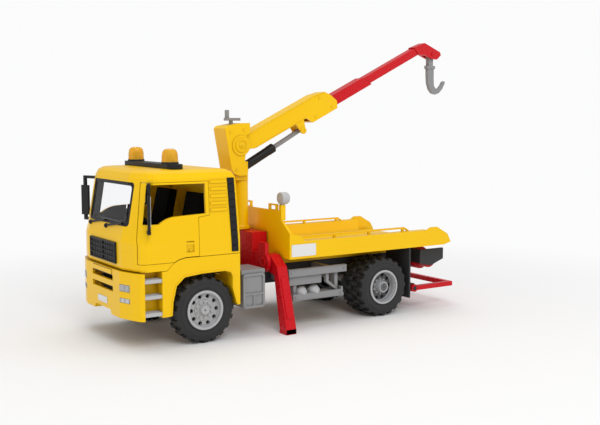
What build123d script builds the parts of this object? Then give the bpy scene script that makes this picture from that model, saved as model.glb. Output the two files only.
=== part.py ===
from build123d import *
from math import atan2, cos, degrees, hypot, pi, radians, sin
import os

# Toy tow truck, 1:16. Millimetres, +X forward, +Y to the truck's left, +Z up.
# The origin is on the ground, under the middle of the whole truck's box.
# Names that end in _x, _y and _z are places. Left pieces have positive y.

# Driving sizes of the whole truck
front_axle_x = 151.53
wheelbase = 228.0
wheel_r = 33.5
body_half = 75.0
clearance = 0.3
running = 0.08
rear_axle_x = front_axle_x - wheelbase

# Wheels
front_tyre_width = 21.0
rear_tyre_width = 19.0
wheel_face_y = body_half - 2.0
twin_gap = 1.5
front_rim_r = 19.5
rear_rim_r = 19.0
axle_r = 2.5
hub_r = 7.0
shaft_r = 5.0
lug_count = 20
lug_depth = 2.2
lug_share = 0.46
sidewall = 0.8
sidewall_r = 29.8
rim_sides = 20

# Ladder frame
rail_y = 22.0
rail_width = 6.0
rail_top_z = 64.0
rail_depth = 20.0
rail_low_z = rail_top_z - rail_depth
frame_front_x = front_axle_x + 70.0
frame_rear_x = rear_axle_x - 62.0
cross_width = 8.0
hanger_length = 24.0
hanger_low_z = 24.0

# Cab
cab_rear_x = front_axle_x - 38.6
cab_nose_x = front_axle_x + 76.5
cab_floor_z = 88.6
cab_nose_z = 77.5
cab_wall = 3.0
arch_start_x = front_axle_x + 22.0
arch_mid_x = front_axle_x + 34.5
arch_mid_z = cab_floor_z - 4.0
arch_end_x = front_axle_x + 42.0
line_z = 104.0
waist_z = 112.0
windshield_top_z = 162.0
roof_side_z = 165.5
roof_top_z = 174.0
crown_scales = ((170.5, 0.955), (173.2, 0.87), (roof_top_z, 0.74))

# Doors
door_front_x = front_axle_x + 69.5
door_rear_x = front_axle_x + 7.0
door_upper_rear_x = front_axle_x - 5.0
door_step_z = 127.0
door_top_z = windshield_top_z + 0.5
door_gap = 0.4
door_lip_y = body_half - 17.0

# Crane
column_x = front_axle_x - 83.8
slew_z = 103.0
pivot_x = front_axle_x - 76.6
pivot_z = 194.8
boom_rise = 26.0
head_half = 13.0
cheek = 3.0
pivot_pin_r = 3.0
outer_half = 9.0
outer_wall = 2.0
tube_wall = 1.2
first_half = outer_half - outer_wall - clearance
second_half = first_half - tube_wall - clearance

# Outriggers
leg_pivot_y = 51.0
leg_pivot_z = 72.0
leg_front_x = front_axle_x - 84.8
leg_width_x = 12.0
leg_root_r = 9.0
leg_pin_r = 3.0

# Deck
deck_front_x = front_axle_x - 98.5
deck_floor_end_x = rear_axle_x - 89.0
deck_tail_x = rear_axle_x - 99.6
deck_low_z = 76.0
deck_thick = 4.0
deck_floor_z = deck_low_z + deck_thick
board_top_z = 94.4
board_wall = 2.5
headboard_thick = 3.0
headboard_top_z = 126.0


def save(builder, name):
    builder.part.label = name
    export_step(builder.part, f"parts/{name}.step")


def cone(shrink, high):
    """The taper, in degrees, of a face that moves inwards by shrink over its height."""
    return degrees(atan2(shrink, high))


def side_plane(y):
    """A plane square to Y at y, with its own x along X and its own y along Z."""
    return Plane(origin=(0, y, 0), x_dir=(1, 0, 0), z_dir=(0, -1, 0))


def upright_plane(x, z):
    """A level plane centred on the truck at x and z."""
    return Plane(origin=(x, 0, z), z_dir=(0, 0, 1))


os.makedirs("parts", exist_ok=True)


# Wheels: chunky tyres on dished rims, with twin tyres on the rear rims
def wheel_plane(x, side):
    return Plane(origin=(x, 0, wheel_r), x_dir=(1, 0, 0), z_dir=(0, side, 0))


def lug_outline(first_lug):
    """A row of lugs seen along the axle: lugs and slightly wider grooves in turn."""
    facet = pi / lug_count
    points = []
    for turn in range(2 * lug_count):
        is_lug = (turn + first_lug) % 2 == 0
        face_r = wheel_r if is_lug else wheel_r - lug_depth
        half = facet * (lug_share if is_lug else 1 - lug_share)
        for edge in (-half, half):
            angle = turn * facet + edge
            points.append((face_r / cos(half) * cos(angle), face_r / cos(half) * sin(angle)))
    return points


def tyre(name, x, side, bands, bore_r):
    """Tyres as bands of two staggered rows of lugs; a band is low, high, and its walled sides."""
    plane = wheel_plane(x, side)
    with BuildPart() as wheel:
        for low, high, wall_low, wall_high in bands:
            start = low + wall_low * sidewall
            end = high - wall_high * sidewall
            middle = (start + end) / 2
            for row_start, row_end, first_lug in ((start, middle, 0), (middle, end, 1)):
                with BuildSketch(plane.offset(row_start)):
                    Polygon(*lug_outline(first_lug), align=None)
                    RegularPolygon(bore_r, rim_sides, mode=Mode.SUBTRACT)
                extrude(amount=row_end - row_start)
            for wall_start, walled in ((low, wall_low), (end, wall_high)):
                if walled:
                    with BuildSketch(plane.offset(wall_start)):
                        RegularPolygon(sidewall_r, lug_count)
                        RegularPolygon(bore_r, rim_sides, mode=Mode.SUBTRACT)
                    extrude(amount=sidewall)
    save(wheel, name)


def rim(name, x, side, rim_r, low, dish, ring_r, cap_r, hole_circle):
    """A rim from its inner end to its outer face: barrel, dished disc with hand holes, hub and cap."""
    plane = wheel_plane(x, side)
    floor_y = wheel_face_y - dish
    disc = 3.0
    lip = 2.0
    with BuildPart() as wheel:
        with BuildSketch(plane.offset(low)):
            RegularPolygon(rim_r - clearance / 3, rim_sides)
        extrude(amount=wheel_face_y - low)
        with BuildSketch(plane.offset(floor_y)):
            RegularPolygon(rim_r - lip, rim_sides)
        extrude(amount=dish, mode=Mode.SUBTRACT)
        with BuildSketch(plane.offset(low)):
            RegularPolygon(rim_r - disc, rim_sides)
            RegularPolygon(hub_r, 12, mode=Mode.SUBTRACT)
        extrude(amount=floor_y - disc - low, mode=Mode.SUBTRACT)
        for radius, rise, sides in ((ring_r, 0.8, 16), (cap_r, dish - 0.8, 12)):
            with BuildSketch(plane.offset(floor_y - disc / 2)):
                RegularPolygon(radius, sides)
            extrude(amount=rise + disc / 2)
        with BuildSketch(plane.offset(floor_y - disc - 0.5)):
            with PolarLocations(hole_circle, 10):
                RegularPolygon(2.3, 6)
        extrude(amount=disc + 1.0, mode=Mode.SUBTRACT)
        with BuildSketch(plane.offset(low)):
            Circle(axle_r + running)
        extrude(amount=floor_y - disc / 2 - low, mode=Mode.SUBTRACT)
    save(wheel, name)


front_inner_y = wheel_face_y - front_tyre_width
rear_inner_y = wheel_face_y - 2 * rear_tyre_width - twin_gap
front_bands = [(front_inner_y, wheel_face_y, True, True)]
rear_bands = [
    (rear_inner_y, rear_inner_y + rear_tyre_width, True, False),
    (wheel_face_y - rear_tyre_width, wheel_face_y, False, True),
]
rim_inset = 2.0
front_dish = 4.0
rear_dish = 9.0
for side, hand in ((1, "left"), (-1, "right")):
    tyre(f"tyre_front_{hand}", front_axle_x, side, front_bands, front_rim_r)
    tyre(f"tyre_rear_{hand}", rear_axle_x, side, rear_bands, rear_rim_r)
    rim(f"rim_front_{hand}", front_axle_x, side, front_rim_r, front_inner_y + rim_inset, front_dish, 10.5, 4.5, 14.0)
    rim(f"rim_rear_{hand}", rear_axle_x, side, rear_rim_r, rear_inner_y + rim_inset, rear_dish, 10.0, 6.5, 13.4)

# Axles: pins in the rims, on a thicker shaft that sits in the frame's hangers
for name, x, inner_y, dish in (
    ("axle_front", front_axle_x, front_inner_y + rim_inset, front_dish),
    ("axle_rear", rear_axle_x, rear_inner_y + rim_inset, rear_dish),
):
    with BuildPart() as axle:
        with BuildSketch(side_plane(0)):
            with Locations((x, wheel_r)):
                Circle(axle_r)
        extrude(amount=wheel_face_y - dish - 2.0, both=True)
        with BuildSketch(side_plane(0)):
            with Locations((x, wheel_r)):
                RegularPolygon(shaft_r, 12)
        extrude(amount=inner_y - clearance, both=True)
    save(axle, name)

# Ladder frame: two rails, cross members and the hangers of both axles
with BuildPart() as frame:
    for side in (1, -1):
        with BuildSketch(Plane.YZ.offset(frame_rear_x)):
            with Locations((side * rail_y, rail_top_z - rail_depth / 2)):
                Rectangle(rail_width, rail_depth)
        extrude(amount=frame_front_x - frame_rear_x)
        for x in (front_axle_x, rear_axle_x):
            with BuildSketch(side_plane(side * rail_y)):
                with Locations((x, (hanger_low_z + rail_top_z) / 2)):
                    Rectangle(hanger_length, rail_top_z - hanger_low_z)
            extrude(amount=rail_width / 2, both=True)
    for x in (frame_rear_x + 4, rear_axle_x + 50, front_axle_x - 70, frame_front_x - 4):
        with Locations((x, 0, rail_top_z - rail_depth / 2)):
            Box(cross_width, 2 * rail_y, rail_depth - 4)
    for x in (front_axle_x, rear_axle_x):
        with BuildSketch(side_plane(0)):
            with Locations((x, wheel_r)):
                RegularPolygon(shaft_r + clearance / 3, 12)
        extrude(amount=body_half, both=True, mode=Mode.SUBTRACT)
save(frame, "frame")

# Engine: one plain block between the rails under the cab
engine_length = 50.0
engine_high = 40.0
engine_half = rail_y - rail_width / 2 - clearance
with BuildPart() as engine:
    with Locations((front_axle_x + 3, 0, rail_top_z)):
        Box(engine_length, 2 * engine_half, engine_high)
save(engine, "engine")


# The plan of the nose: flat in the middle, then three short facets round each corner
# Columns: distance behind the nose, distance inside the side
NOSE_FACETS = ((0.0, 31.0), (5.0, 13.0), (8.5, 4.0), (12.5, 0.0))


def nose_plan(nose_x, rear_x, half):
    """Corners of the cab's and the bumper's plan, from the right rear round to the left rear."""
    left = [(nose_x - back, half - inward) for back, inward in NOSE_FACETS]
    right = [(x, -y) for x, y in reversed(left)]
    return [(rear_x, -half), *right, *left, (rear_x, half)]


# Bumper: one hollow moulding, open behind, with two slots and the headlamps' pockets
bumper_low_z = 30.0
bumper_top_z = cab_nose_z - 1.5
bumper_nose_x = front_axle_x + 78.5
bumper_rear_x = front_axle_x + 65.5
bumper_wall = 3.0
bumper_plan = nose_plan(bumper_nose_x, bumper_rear_x, body_half)
slot_high = 5.4
slot_half = 27.0
bracket_top_z = 52.5
lamp_y = body_half - 23.5
lamp_width = 15.0
lamp_depth = 2.0
# Centre height and height of each lamp
lamp_rows = ((60.2, 6.4), (48.0, 4.2))


def lamp_plane(side, z):
    """A plane on the bumper's first facet, looking outwards, centred on a headlamp."""
    back, inward = NOSE_FACETS[1][0], NOSE_FACETS[0][1] - NOSE_FACETS[1][1]
    face_x = bumper_nose_x - back * (lamp_y - body_half + NOSE_FACETS[0][1]) / inward
    return Plane(origin=(face_x, side * lamp_y, z), x_dir=(-back, side * inward, 0), z_dir=(inward, side * back, 0))


with BuildPart() as bumper:
    with BuildSketch(Plane.XY.offset(bumper_low_z)):
        Polygon(*bumper_plan, align=None)
    extrude(amount=bumper_top_z - bumper_low_z)
    with BuildSketch(Plane.XY.offset(bumper_low_z + bumper_wall)):
        Polygon(*bumper_plan, align=None)
        offset(amount=-bumper_wall, kind=Kind.INTERSECTION)
        with Locations((bumper_rear_x, 0)):
            Rectangle(3 * bumper_wall, 2 * (body_half - bumper_wall))
    extrude(amount=bumper_top_z - bumper_low_z - 2 * bumper_wall, mode=Mode.SUBTRACT)
    for z in (67.0, 56.0):
        with Locations((bumper_nose_x, 0, z)):
            Box(3 * bumper_wall, 2 * slot_half, slot_high, mode=Mode.SUBTRACT)
    with BuildSketch(Plane.YZ.offset(bumper_rear_x)):
        with Locations((0, bumper_low_z)):
            Trapezoid(2 * 24.0, 2 * 4.5, 65)
    extrude(amount=bumper_nose_x, mode=Mode.SUBTRACT)
    for side in (1, -1):
        for z, high in lamp_rows:
            with BuildSketch(lamp_plane(side, z)):
                Rectangle(lamp_width + 2 * clearance, high + 2 * clearance)
            extrude(amount=-lamp_depth, mode=Mode.SUBTRACT)
        with BuildSketch(Plane.YZ.offset(frame_front_x)):
            with Locations((side * rail_y, (rail_low_z + bracket_top_z) / 2)):
                Rectangle(rail_width, bracket_top_z - rail_low_z)
        extrude(amount=bumper_nose_x - bumper_wall - frame_front_x)
save(bumper, "bumper")

with BuildPart() as headlamps:
    for side in (1, -1):
        for z, high in lamp_rows:
            with BuildSketch(lamp_plane(side, z).offset(-lamp_depth)):
                Rectangle(lamp_width, high)
            extrude(amount=lamp_depth)
save(headlamps, "headlamps")

# Fenders: skin, arch liner, flange and the steps' recess in one moulding a side
fender_low_z = 35.8
recess_low_z = 32.0
seam = 0.5
riser_x = front_axle_x + 45.0
riser_thick = 2.5
liner_low_y = body_half - 28.0
recess_y = body_half - 15.0
# The cab's lower edge over the wheel: x from the front axle, drop from the cab's floor
arch_points = ((22.0, 0.0), (29.0, 1.4), (34.5, 4.0), (39.0, 7.6), (42.0, 11.1))
# The wheel opening in the fender: x from the front axle, z
opening_points = (
    (38.0, 20.0),
    (38.0, 33.0),
    (37.0, 46.0),
    (33.0, 62.0),
    (24.0, 70.0),
    (5.0, 72.0),
    (-21.0, 72.4),
    (-28.0, 70.5),
    (-30.5, 66.0),
    (-30.5, 54.0),
    (-35.2, 37.0),
    (-35.2, 20.0),
)


def arch_line(drop):
    """Points of the line that the fender's top and the cab's lower edge share, rear to front."""
    return [(front_axle_x + x, cab_floor_z - fall - drop) for x, fall in arch_points]


def wheel_opening(grow):
    """The wheel opening's outline in side view, larger by grow."""
    with BuildSketch(side_plane(0)) as outline:
        Polygon(*[(front_axle_x + x, z) for x, z in opening_points], align=None)
        if grow > 0:
            offset(amount=grow, kind=Kind.INTERSECTION)
    return outline.sketch


def fender_outline():
    """The fender's whole outline in side view, without its wheel opening."""
    with BuildSketch(side_plane(0)) as outline:
        Polygon(
            (cab_rear_x, fender_low_z),
            (riser_x, recess_low_z),
            (riser_x + riser_thick, recess_low_z),
            (riser_x + riser_thick, cab_nose_z - seam),
            *reversed(arch_line(seam)),
            (cab_rear_x, cab_floor_z - seam),
            align=None,
        )
    return outline.sketch


for side, hand in ((1, "left"), (-1, "right")):
    with BuildPart() as fender:
        with BuildSketch(side_plane(side * body_half)):
            add(fender_outline())
            add(wheel_opening(0), mode=Mode.SUBTRACT)
        extrude(amount=side * cab_wall)
        with BuildSketch(side_plane(side * body_half)):
            add(wheel_opening(riser_thick))
            add(wheel_opening(0), mode=Mode.SUBTRACT)
            add(fender_outline(), mode=Mode.INTERSECT)
        extrude(amount=side * (body_half - liner_low_y))
        with BuildSketch(Plane.XY.offset(cab_floor_z - seam)):
            with Locations(((cab_rear_x + arch_start_x) / 2, side * (liner_low_y + body_half) / 2)):
                Rectangle(arch_start_x - cab_rear_x, body_half - liner_low_y)
        extrude(amount=-riser_thick)
        with BuildSketch(Plane.XY.offset(recess_low_z)):
            with Locations((riser_x + riser_thick / 2, side * (recess_y + body_half) / 2)):
                Rectangle(riser_thick, body_half - recess_y)
            with Locations(((riser_x + bumper_rear_x) / 2, side * (recess_y + riser_thick / 2))):
                Rectangle(bumper_rear_x - riser_x, riser_thick)
        extrude(amount=bumper_top_z - recess_low_z)
        for low_x, high_y in ((riser_x, recess_y + riser_thick), (cab_rear_x, body_half)):
            with BuildSketch(Plane.YZ.offset(low_x)):
                with Locations((side * (rail_y + rail_width / 2 + high_y) / 2, 57.0)):
                    Rectangle(high_y - rail_y - rail_width / 2, 8.0)
            extrude(amount=riser_thick)
    save(fender, f"fender_{hand}")
    with BuildPart() as steps:
        # Low and high edge of each tread
        for low_z, high_z in ((34.0, 37.6), (51.0, 54.5), (66.4, 70.0)):
            with BuildSketch(Plane.XY.offset(low_z)):
                with Locations(((riser_x + riser_thick + bumper_rear_x) / 2, side * (recess_y + riser_thick + 6.0))):
                    Rectangle(bumper_rear_x - riser_x - riser_thick, 12.0)
            extrude(amount=high_z - low_z)
    save(steps, f"steps_{hand}")


# Cab: a stack of plans from the sill to the roof; the inside is the same, a wall smaller
# Columns: height, nose and rear from the front axle, half width less than the body's
cab_sections = (
    (cab_nose_z, 75.5, 0.0),
    (cab_nose_z + 2.0, 76.5, 0.0),
    (line_z, 76.5, 0.0),
    (waist_z, 74.5, 0.4),
    (windshield_top_z, 66.5, 3.0),
    (roof_side_z, 65.5, 3.5),
)


def inset_plan(plan, inset):
    """A convex plan with every side moved inwards by inset."""
    moved = []
    for before, here, after in zip(plan[-1:] + plan[:-1], plan, plan[1:] + plan[:1]):
        first = Vector(here[0] - before[0], here[1] - before[1]).normalized()
        second = Vector(after[0] - here[0], after[1] - here[1]).normalized()
        reach = inset / (1 + first.dot(second))
        moved.append((here[0] - reach * (first.Y + second.Y), here[1] + reach * (first.X + second.X)))
    return moved


def cab_form(inset):
    """The cab's closed form of flat faces, smaller by inset all round; a negative inset makes it larger."""
    crown_mid_x = front_axle_x + 15.0
    rings = []
    for z, nose, taper in cab_sections[1 if inset > 0 else 0 :]:
        plan = nose_plan(front_axle_x + nose, cab_rear_x + taper, body_half - taper)
        rings.append([(x, y, max(z, cab_nose_z + inset)) for x, y in inset_plan(plan, inset)])
    for z, factor in crown_scales:
        plan = nose_plan(65.5 - 15.0, cab_rear_x + 3.5 - crown_mid_x, body_half - 3.5)
        plan = inset_plan([(factor * x, factor * y) for x, y in plan], inset)
        rings.append([(crown_mid_x + x, y, z - inset) for x, y in plan])
    faces = [Face(Wire.make_polygon(ring)) for ring in (rings[0], rings[-1])]
    for low, high in zip(rings, rings[1:]):
        for corner in range(len(low)):
            after = (corner + 1) % len(low)
            faces.append(Face(Wire.make_polygon([low[corner], low[after], high[after], high[corner]])))
    return Solid(Shell(faces))


def below_floor(points, low_z):
    """A sketch of everything below a line in side view, as far down as low_z."""
    with BuildSketch(side_plane(0)) as outline:
        Polygon((cab_rear_x - 5.0, low_z), (cab_rear_x - 5.0, points[0][1]), *points, (points[-1][0], low_z), align=None)
    return outline.sketch


def door_outline(gap):
    """The door's outline in side view, smaller by the gap all round."""
    with BuildSketch(side_plane(0)) as outline:
        Polygon(
            (door_rear_x, cab_floor_z),
            (door_rear_x, door_step_z),
            (door_upper_rear_x, door_step_z + 1.5),
            (door_upper_rear_x, door_top_z),
            (door_front_x - 8.0, door_top_z),
            (door_front_x - 1.0, waist_z),
            (door_front_x, line_z + 2.0),
            (door_front_x, arch_mid_z),
            *reversed(arch_line(0)[:3]),
            align=None,
        )
        if gap > 0:
            offset(amount=-gap, kind=Kind.INTERSECTION)
    return outline.sketch


def side_window():
    """The side window's outline: its sill drops towards the front in a swoop."""
    with BuildSketch(side_plane(0)) as outline:
        with BuildLine():
            Polyline(
                (front_axle_x + 49.4, 122.5),
                (front_axle_x + 64.5, 122.5),
                (front_axle_x + 58.8, 160.2),
                (front_axle_x - 1.0, 160.0),
                (front_axle_x - 1.0, 130.5),
                (front_axle_x + 33.0, 129.0),
            )
            ThreePointArc(
                (front_axle_x + 33.0, 129.0),
                (front_axle_x + 42.0, 126.8),
                (front_axle_x + 49.4, 122.5),
            )
        make_face()
    return outline.sketch


def snorkel_outline(gap):
    """The snorkel's outline in side view, larger by the gap."""
    with BuildSketch(side_plane(0)) as outline:
        Polygon(
            (front_axle_x - 29.5, 90.9),
            (front_axle_x - 25.9, roof_side_z - 1.0),
            (front_axle_x - 33.3, roof_side_z - 1.0),
            (front_axle_x - 36.6, 90.9),
            align=None,
        )
        if gap > 0:
            offset(amount=gap, kind=Kind.INTERSECTION)
    return outline.sketch


def skin_plane(side):
    """A plane on the cab's upper side, looking outwards; its x runs against side times X."""
    rise = windshield_top_z - waist_z
    return Plane(
        origin=(0, side * (body_half - 0.4), waist_z),
        x_dir=(-side, 0, 0),
        z_dir=(0, side * rise, 2.6),
    )


window_low_z = 119.5
window_half = 51.0
snorkel_sink = 1.5
snorkel_rise = 0.8
cab_outer = cab_form(0.0)
cab_inner = cab_form(cab_wall)
with BuildPart() as window_prism:
    with BuildSketch(Plane.YZ.offset(front_axle_x + 52.0)):
        with Locations((0, (window_low_z + windshield_top_z) / 2)):
            RectangleRounded(2 * window_half, windshield_top_z - window_low_z, 4)
    extrude(amount=40)
with BuildPart() as door_space:
    add(cab_outer)
    add(cab_form(cab_wall + door_gap), mode=Mode.SUBTRACT)
    with BuildSketch(side_plane(0)):
        add(door_outline(0))
    extrude(amount=2 * body_half, both=True, mode=Mode.INTERSECT)
    with Locations((front_axle_x + 32.0, 0, 125.0)):
        Box(90.0, 2 * (door_lip_y - door_gap), 110.0, mode=Mode.SUBTRACT)
with BuildPart() as snorkel_recess:
    add(cab_outer)
    add(cab_form(snorkel_sink), mode=Mode.SUBTRACT)
    with BuildSketch(side_plane(0)):
        add(snorkel_outline(clearance))
    extrude(amount=2 * body_half, both=True, mode=Mode.INTERSECT)
with BuildPart() as cab_hollow:
    add(cab_inner)
    inner_floor = [(front_axle_x + 23.0, cab_floor_z + cab_wall), (front_axle_x + 36.5, arch_mid_z + 2.6)]
    inner_floor.append((riser_x, cab_nose_z + cab_wall))
    with BuildSketch(side_plane(0)):
        add(below_floor(inner_floor, cab_nose_z))
    extrude(amount=2 * body_half, both=True, mode=Mode.SUBTRACT)
with BuildPart() as cab:
    add(cab_outer)
    with BuildSketch(side_plane(0)):
        add(below_floor(arch_line(0), cab_nose_z - 1.0))
    extrude(amount=2 * body_half, both=True, mode=Mode.SUBTRACT)
    add(cab_hollow.part, mode=Mode.SUBTRACT)
    add(window_prism.part, mode=Mode.SUBTRACT)
    add(door_space.part, mode=Mode.SUBTRACT)
    for side in (1, -1):
        with BuildSketch(skin_plane(side)):
            for z in (161.4, 154.3, 147.2, 140.1, 133.6):
                with Locations((-side * (front_axle_x - 15.4), z - waist_z)):
                    Rectangle(18.2, 2.8)
        extrude(amount=1.0)
    add(snorkel_recess.part, mode=Mode.SUBTRACT)
save(cab, "cab")

# Doors with their mirrors, and the snorkels on the rear corners
for side, hand in ((1, "left"), (-1, "right")):
    with BuildPart() as door:
        add(cab_outer)
        add(cab_inner, mode=Mode.SUBTRACT)
        with BuildSketch(side_plane(side * door_lip_y)):
            add(door_outline(door_gap))
            add(side_window(), mode=Mode.SUBTRACT)
        extrude(amount=-side * body_half, mode=Mode.INTERSECT)
        with Locations((front_axle_x + 17.0, side * body_half, 99.0)):
            Box(8.4, 2.4, 11.0, mode=Mode.SUBTRACT)
        with Locations((front_axle_x + 17.0, side * (body_half - 0.9), 102.0)):
            Box(9.0, 1.2, 2.6)
    save(door, f"door_{hand}")
    with BuildPart() as mirror:
        plate_x = front_axle_x + 63.6
        plate_y = body_half + 7.5
        plate = Plane(origin=(plate_x, side * plate_y, 0), x_dir=(0.43, side * 0.9, 0), z_dir=(0, 0, 1))
        with BuildSketch(plate.offset(120.0)):
            RectangleRounded(11.0, 3.0, 1.2)
        extrude(amount=32.0)
        with BuildSketch(plate.offset(114.5)):
            Rectangle(3.0, 3.0)
        extrude(amount=48.0)
        # Height of each arm and where it meets the door
        for arm_z, root_x, root_y in ((116.0, 58.5, 70.0), (161.0, 53.5, 64.0)):
            with BuildSketch(Plane.XY.offset(arm_z - 1.5)):
                Polygon(
                    (front_axle_x + root_x - 1.5, side * (root_y - 5.0)),
                    (front_axle_x + root_x + 1.5, side * (root_y - 5.0)),
                    (plate_x + 1.5, side * (plate_y + 0.8)),
                    (plate_x - 1.5, side * (plate_y + 0.8)),
                    align=None,
                )
            extrude(amount=3.0)
        add(cab_outer, mode=Mode.SUBTRACT)
    save(mirror, f"mirror_{hand}")
    with BuildPart() as grooves:
        for step in range(9):
            with Locations((cab_rear_x + 8.0, side * body_half, 97.0 + 7.7 * step)):
                Box(24.0, 16.0, 1.5)
        add(cab_outer, mode=Mode.SUBTRACT)
    with BuildPart() as snorkel:
        add(cab_form(-snorkel_rise))
        add(cab_form(snorkel_sink), mode=Mode.SUBTRACT)
        with BuildSketch(side_plane(0)):
            add(snorkel_outline(0))
        extrude(amount=-side * 2 * body_half, mode=Mode.INTERSECT)
        add(grooves.part, mode=Mode.SUBTRACT)
    save(snorkel, f"snorkel_{hand}")

# Windshield: a bent pane that follows the nose, set a little behind its skin
pane_depth = 1.2
pane_thick = 1.4
with BuildPart() as windshield:
    add(cab_form(pane_depth))
    add(cab_form(pane_depth + pane_thick), mode=Mode.SUBTRACT)
    add(window_prism.part, mode=Mode.INTERSECT)
save(windshield, "windshield")

# Grille: a dark panel with four pairs of openings, on the nose
grille_half = 33.5
grille_low_z = 82.1
grille_high_z = 103.0
grille_thick = 1.5
with BuildPart() as grille:
    with BuildSketch(Plane.YZ.offset(cab_nose_x)):
        with Locations((0, (grille_low_z + grille_high_z) / 2)):
            Rectangle(2 * grille_half, grille_high_z - grille_low_z)
    extrude(amount=grille_thick)
    with BuildSketch(Plane.YZ.offset(cab_nose_x + grille_thick)):
        with Locations((0, (grille_low_z + grille_high_z) / 2)):
            with GridLocations(31.5, 4.8, 2, 4):
                Rectangle(29.0, 3.2)
    extrude(amount=-0.9, mode=Mode.SUBTRACT)
save(grille, "grille")

# Inside of the cab: a floor tray with two seats, and a dashboard with the wheel
inner_floor_z = cab_floor_z + cab_wall
seat_y = 36.0
with BuildPart() as seats:
    with Locations((front_axle_x + 8, 0, inner_floor_z + 1)):
        Box(80, 2 * (body_half - cab_wall) - 4, 2)
    for side in (1, -1):
        with Locations((front_axle_x + 12, side * seat_y, inner_floor_z + 11)):
            Box(34, 34, 20)
        with BuildSketch(side_plane(side * seat_y)):
            Polygon(
                (front_axle_x + 2, inner_floor_z + 18),
                (front_axle_x - 8, inner_floor_z + 18),
                (front_axle_x - 16, inner_floor_z + 56),
                (front_axle_x - 7, inner_floor_z + 57),
                align=None,
            )
        extrude(amount=16, both=True)
save(seats, "seats")

steer_tilt = radians(35)
steer_x = front_axle_x + 47.0
steer_z = 117.0
steer_axis = (-cos(steer_tilt), 0, sin(steer_tilt))
steer_plane = Plane(origin=(steer_x, seat_y, steer_z), x_dir=(0, 1, 0), z_dir=steer_axis)
with BuildPart() as dashboard:
    with BuildSketch(side_plane(0)):
        Polygon(
            (front_axle_x + 76, cab_nose_z + cab_wall),
            (front_axle_x + 76, 114),
            (front_axle_x + 67, 118.5),
            (front_axle_x + 53, 114),
            (front_axle_x + 58, cab_nose_z + cab_wall),
            align=None,
        )
    extrude(amount=body_half - 19.0, both=True)
    with BuildSketch(side_plane(seat_y)):
        Polygon(
            (front_axle_x + 69, 115),
            (front_axle_x + 65, 125),
            (front_axle_x + 57, 124),
            (front_axle_x + 54, 112),
            align=None,
        )
    extrude(amount=14, both=True)
    add(cab_form(cab_wall + clearance), mode=Mode.INTERSECT)
    with Locations((front_axle_x + 65, 0, cab_nose_z + cab_wall + 1)):
        Box(8, body_half, 2)
    with BuildSketch(steer_plane):
        RegularPolygon(13, 16)
        RegularPolygon(10.8, 16, mode=Mode.SUBTRACT)
        Rectangle(23, 2.4)
        RegularPolygon(3, 8)
    extrude(amount=2.4)
    with BuildSketch(steer_plane):
        RegularPolygon(2.4, 6)
    extrude(amount=-14)
save(dashboard, "dashboard")

# Light bar on the roof with two amber beacons
bar_x = front_axle_x + 21.7
bar_half = body_half - 17.0
bar_width = 17.0
bar_high_z = roof_top_z + 4.6
beacon_y = 41.3
# Height above the bar and radius of the beacon's outline, from its foot to its top
beacon_steps = ((0.0, 8.6), (11.0, 7.8), (13.8, 6.2), (15.0, 3.0))
with BuildPart() as light_bar:
    with BuildSketch(upright_plane(bar_x, roof_top_z)):
        RectangleRounded(bar_width, 2 * bar_half, 7)
    extrude(amount=bar_high_z - roof_top_z)
save(light_bar, "light_bar")
with BuildPart() as beacons:
    for side in (1, -1):
        for (low, low_r), (high, high_r) in zip(beacon_steps, beacon_steps[1:]):
            with BuildSketch(Plane.XY.offset(bar_high_z + low)):
                with Locations((bar_x, side * beacon_y)):
                    RegularPolygon(low_r, 20)
            extrude(amount=high - low, taper=cone(low_r - high_r, high - low))
save(beacons, "beacons")

# Wipers: two flat arms with their pivots, on the windshield's foot
front_slope = Plane(
    origin=(front_axle_x + 74.5, 0, waist_z),
    x_dir=(0, 1, 0),
    z_dir=(windshield_top_z - waist_z, 0, 8.0),
)
with BuildPart() as wipers:
    for y in (2.0, -40.0):
        with BuildSketch(front_slope):
            with Locations((y, 4.6)):
                RegularPolygon(2.4, 8)
            Polygon((y, 3.8), (y + 38.0, 9.4), (y + 38.0, 11.2), (y, 6.0), align=None)
        extrude(amount=1.4)
save(wipers, "wipers")

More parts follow.
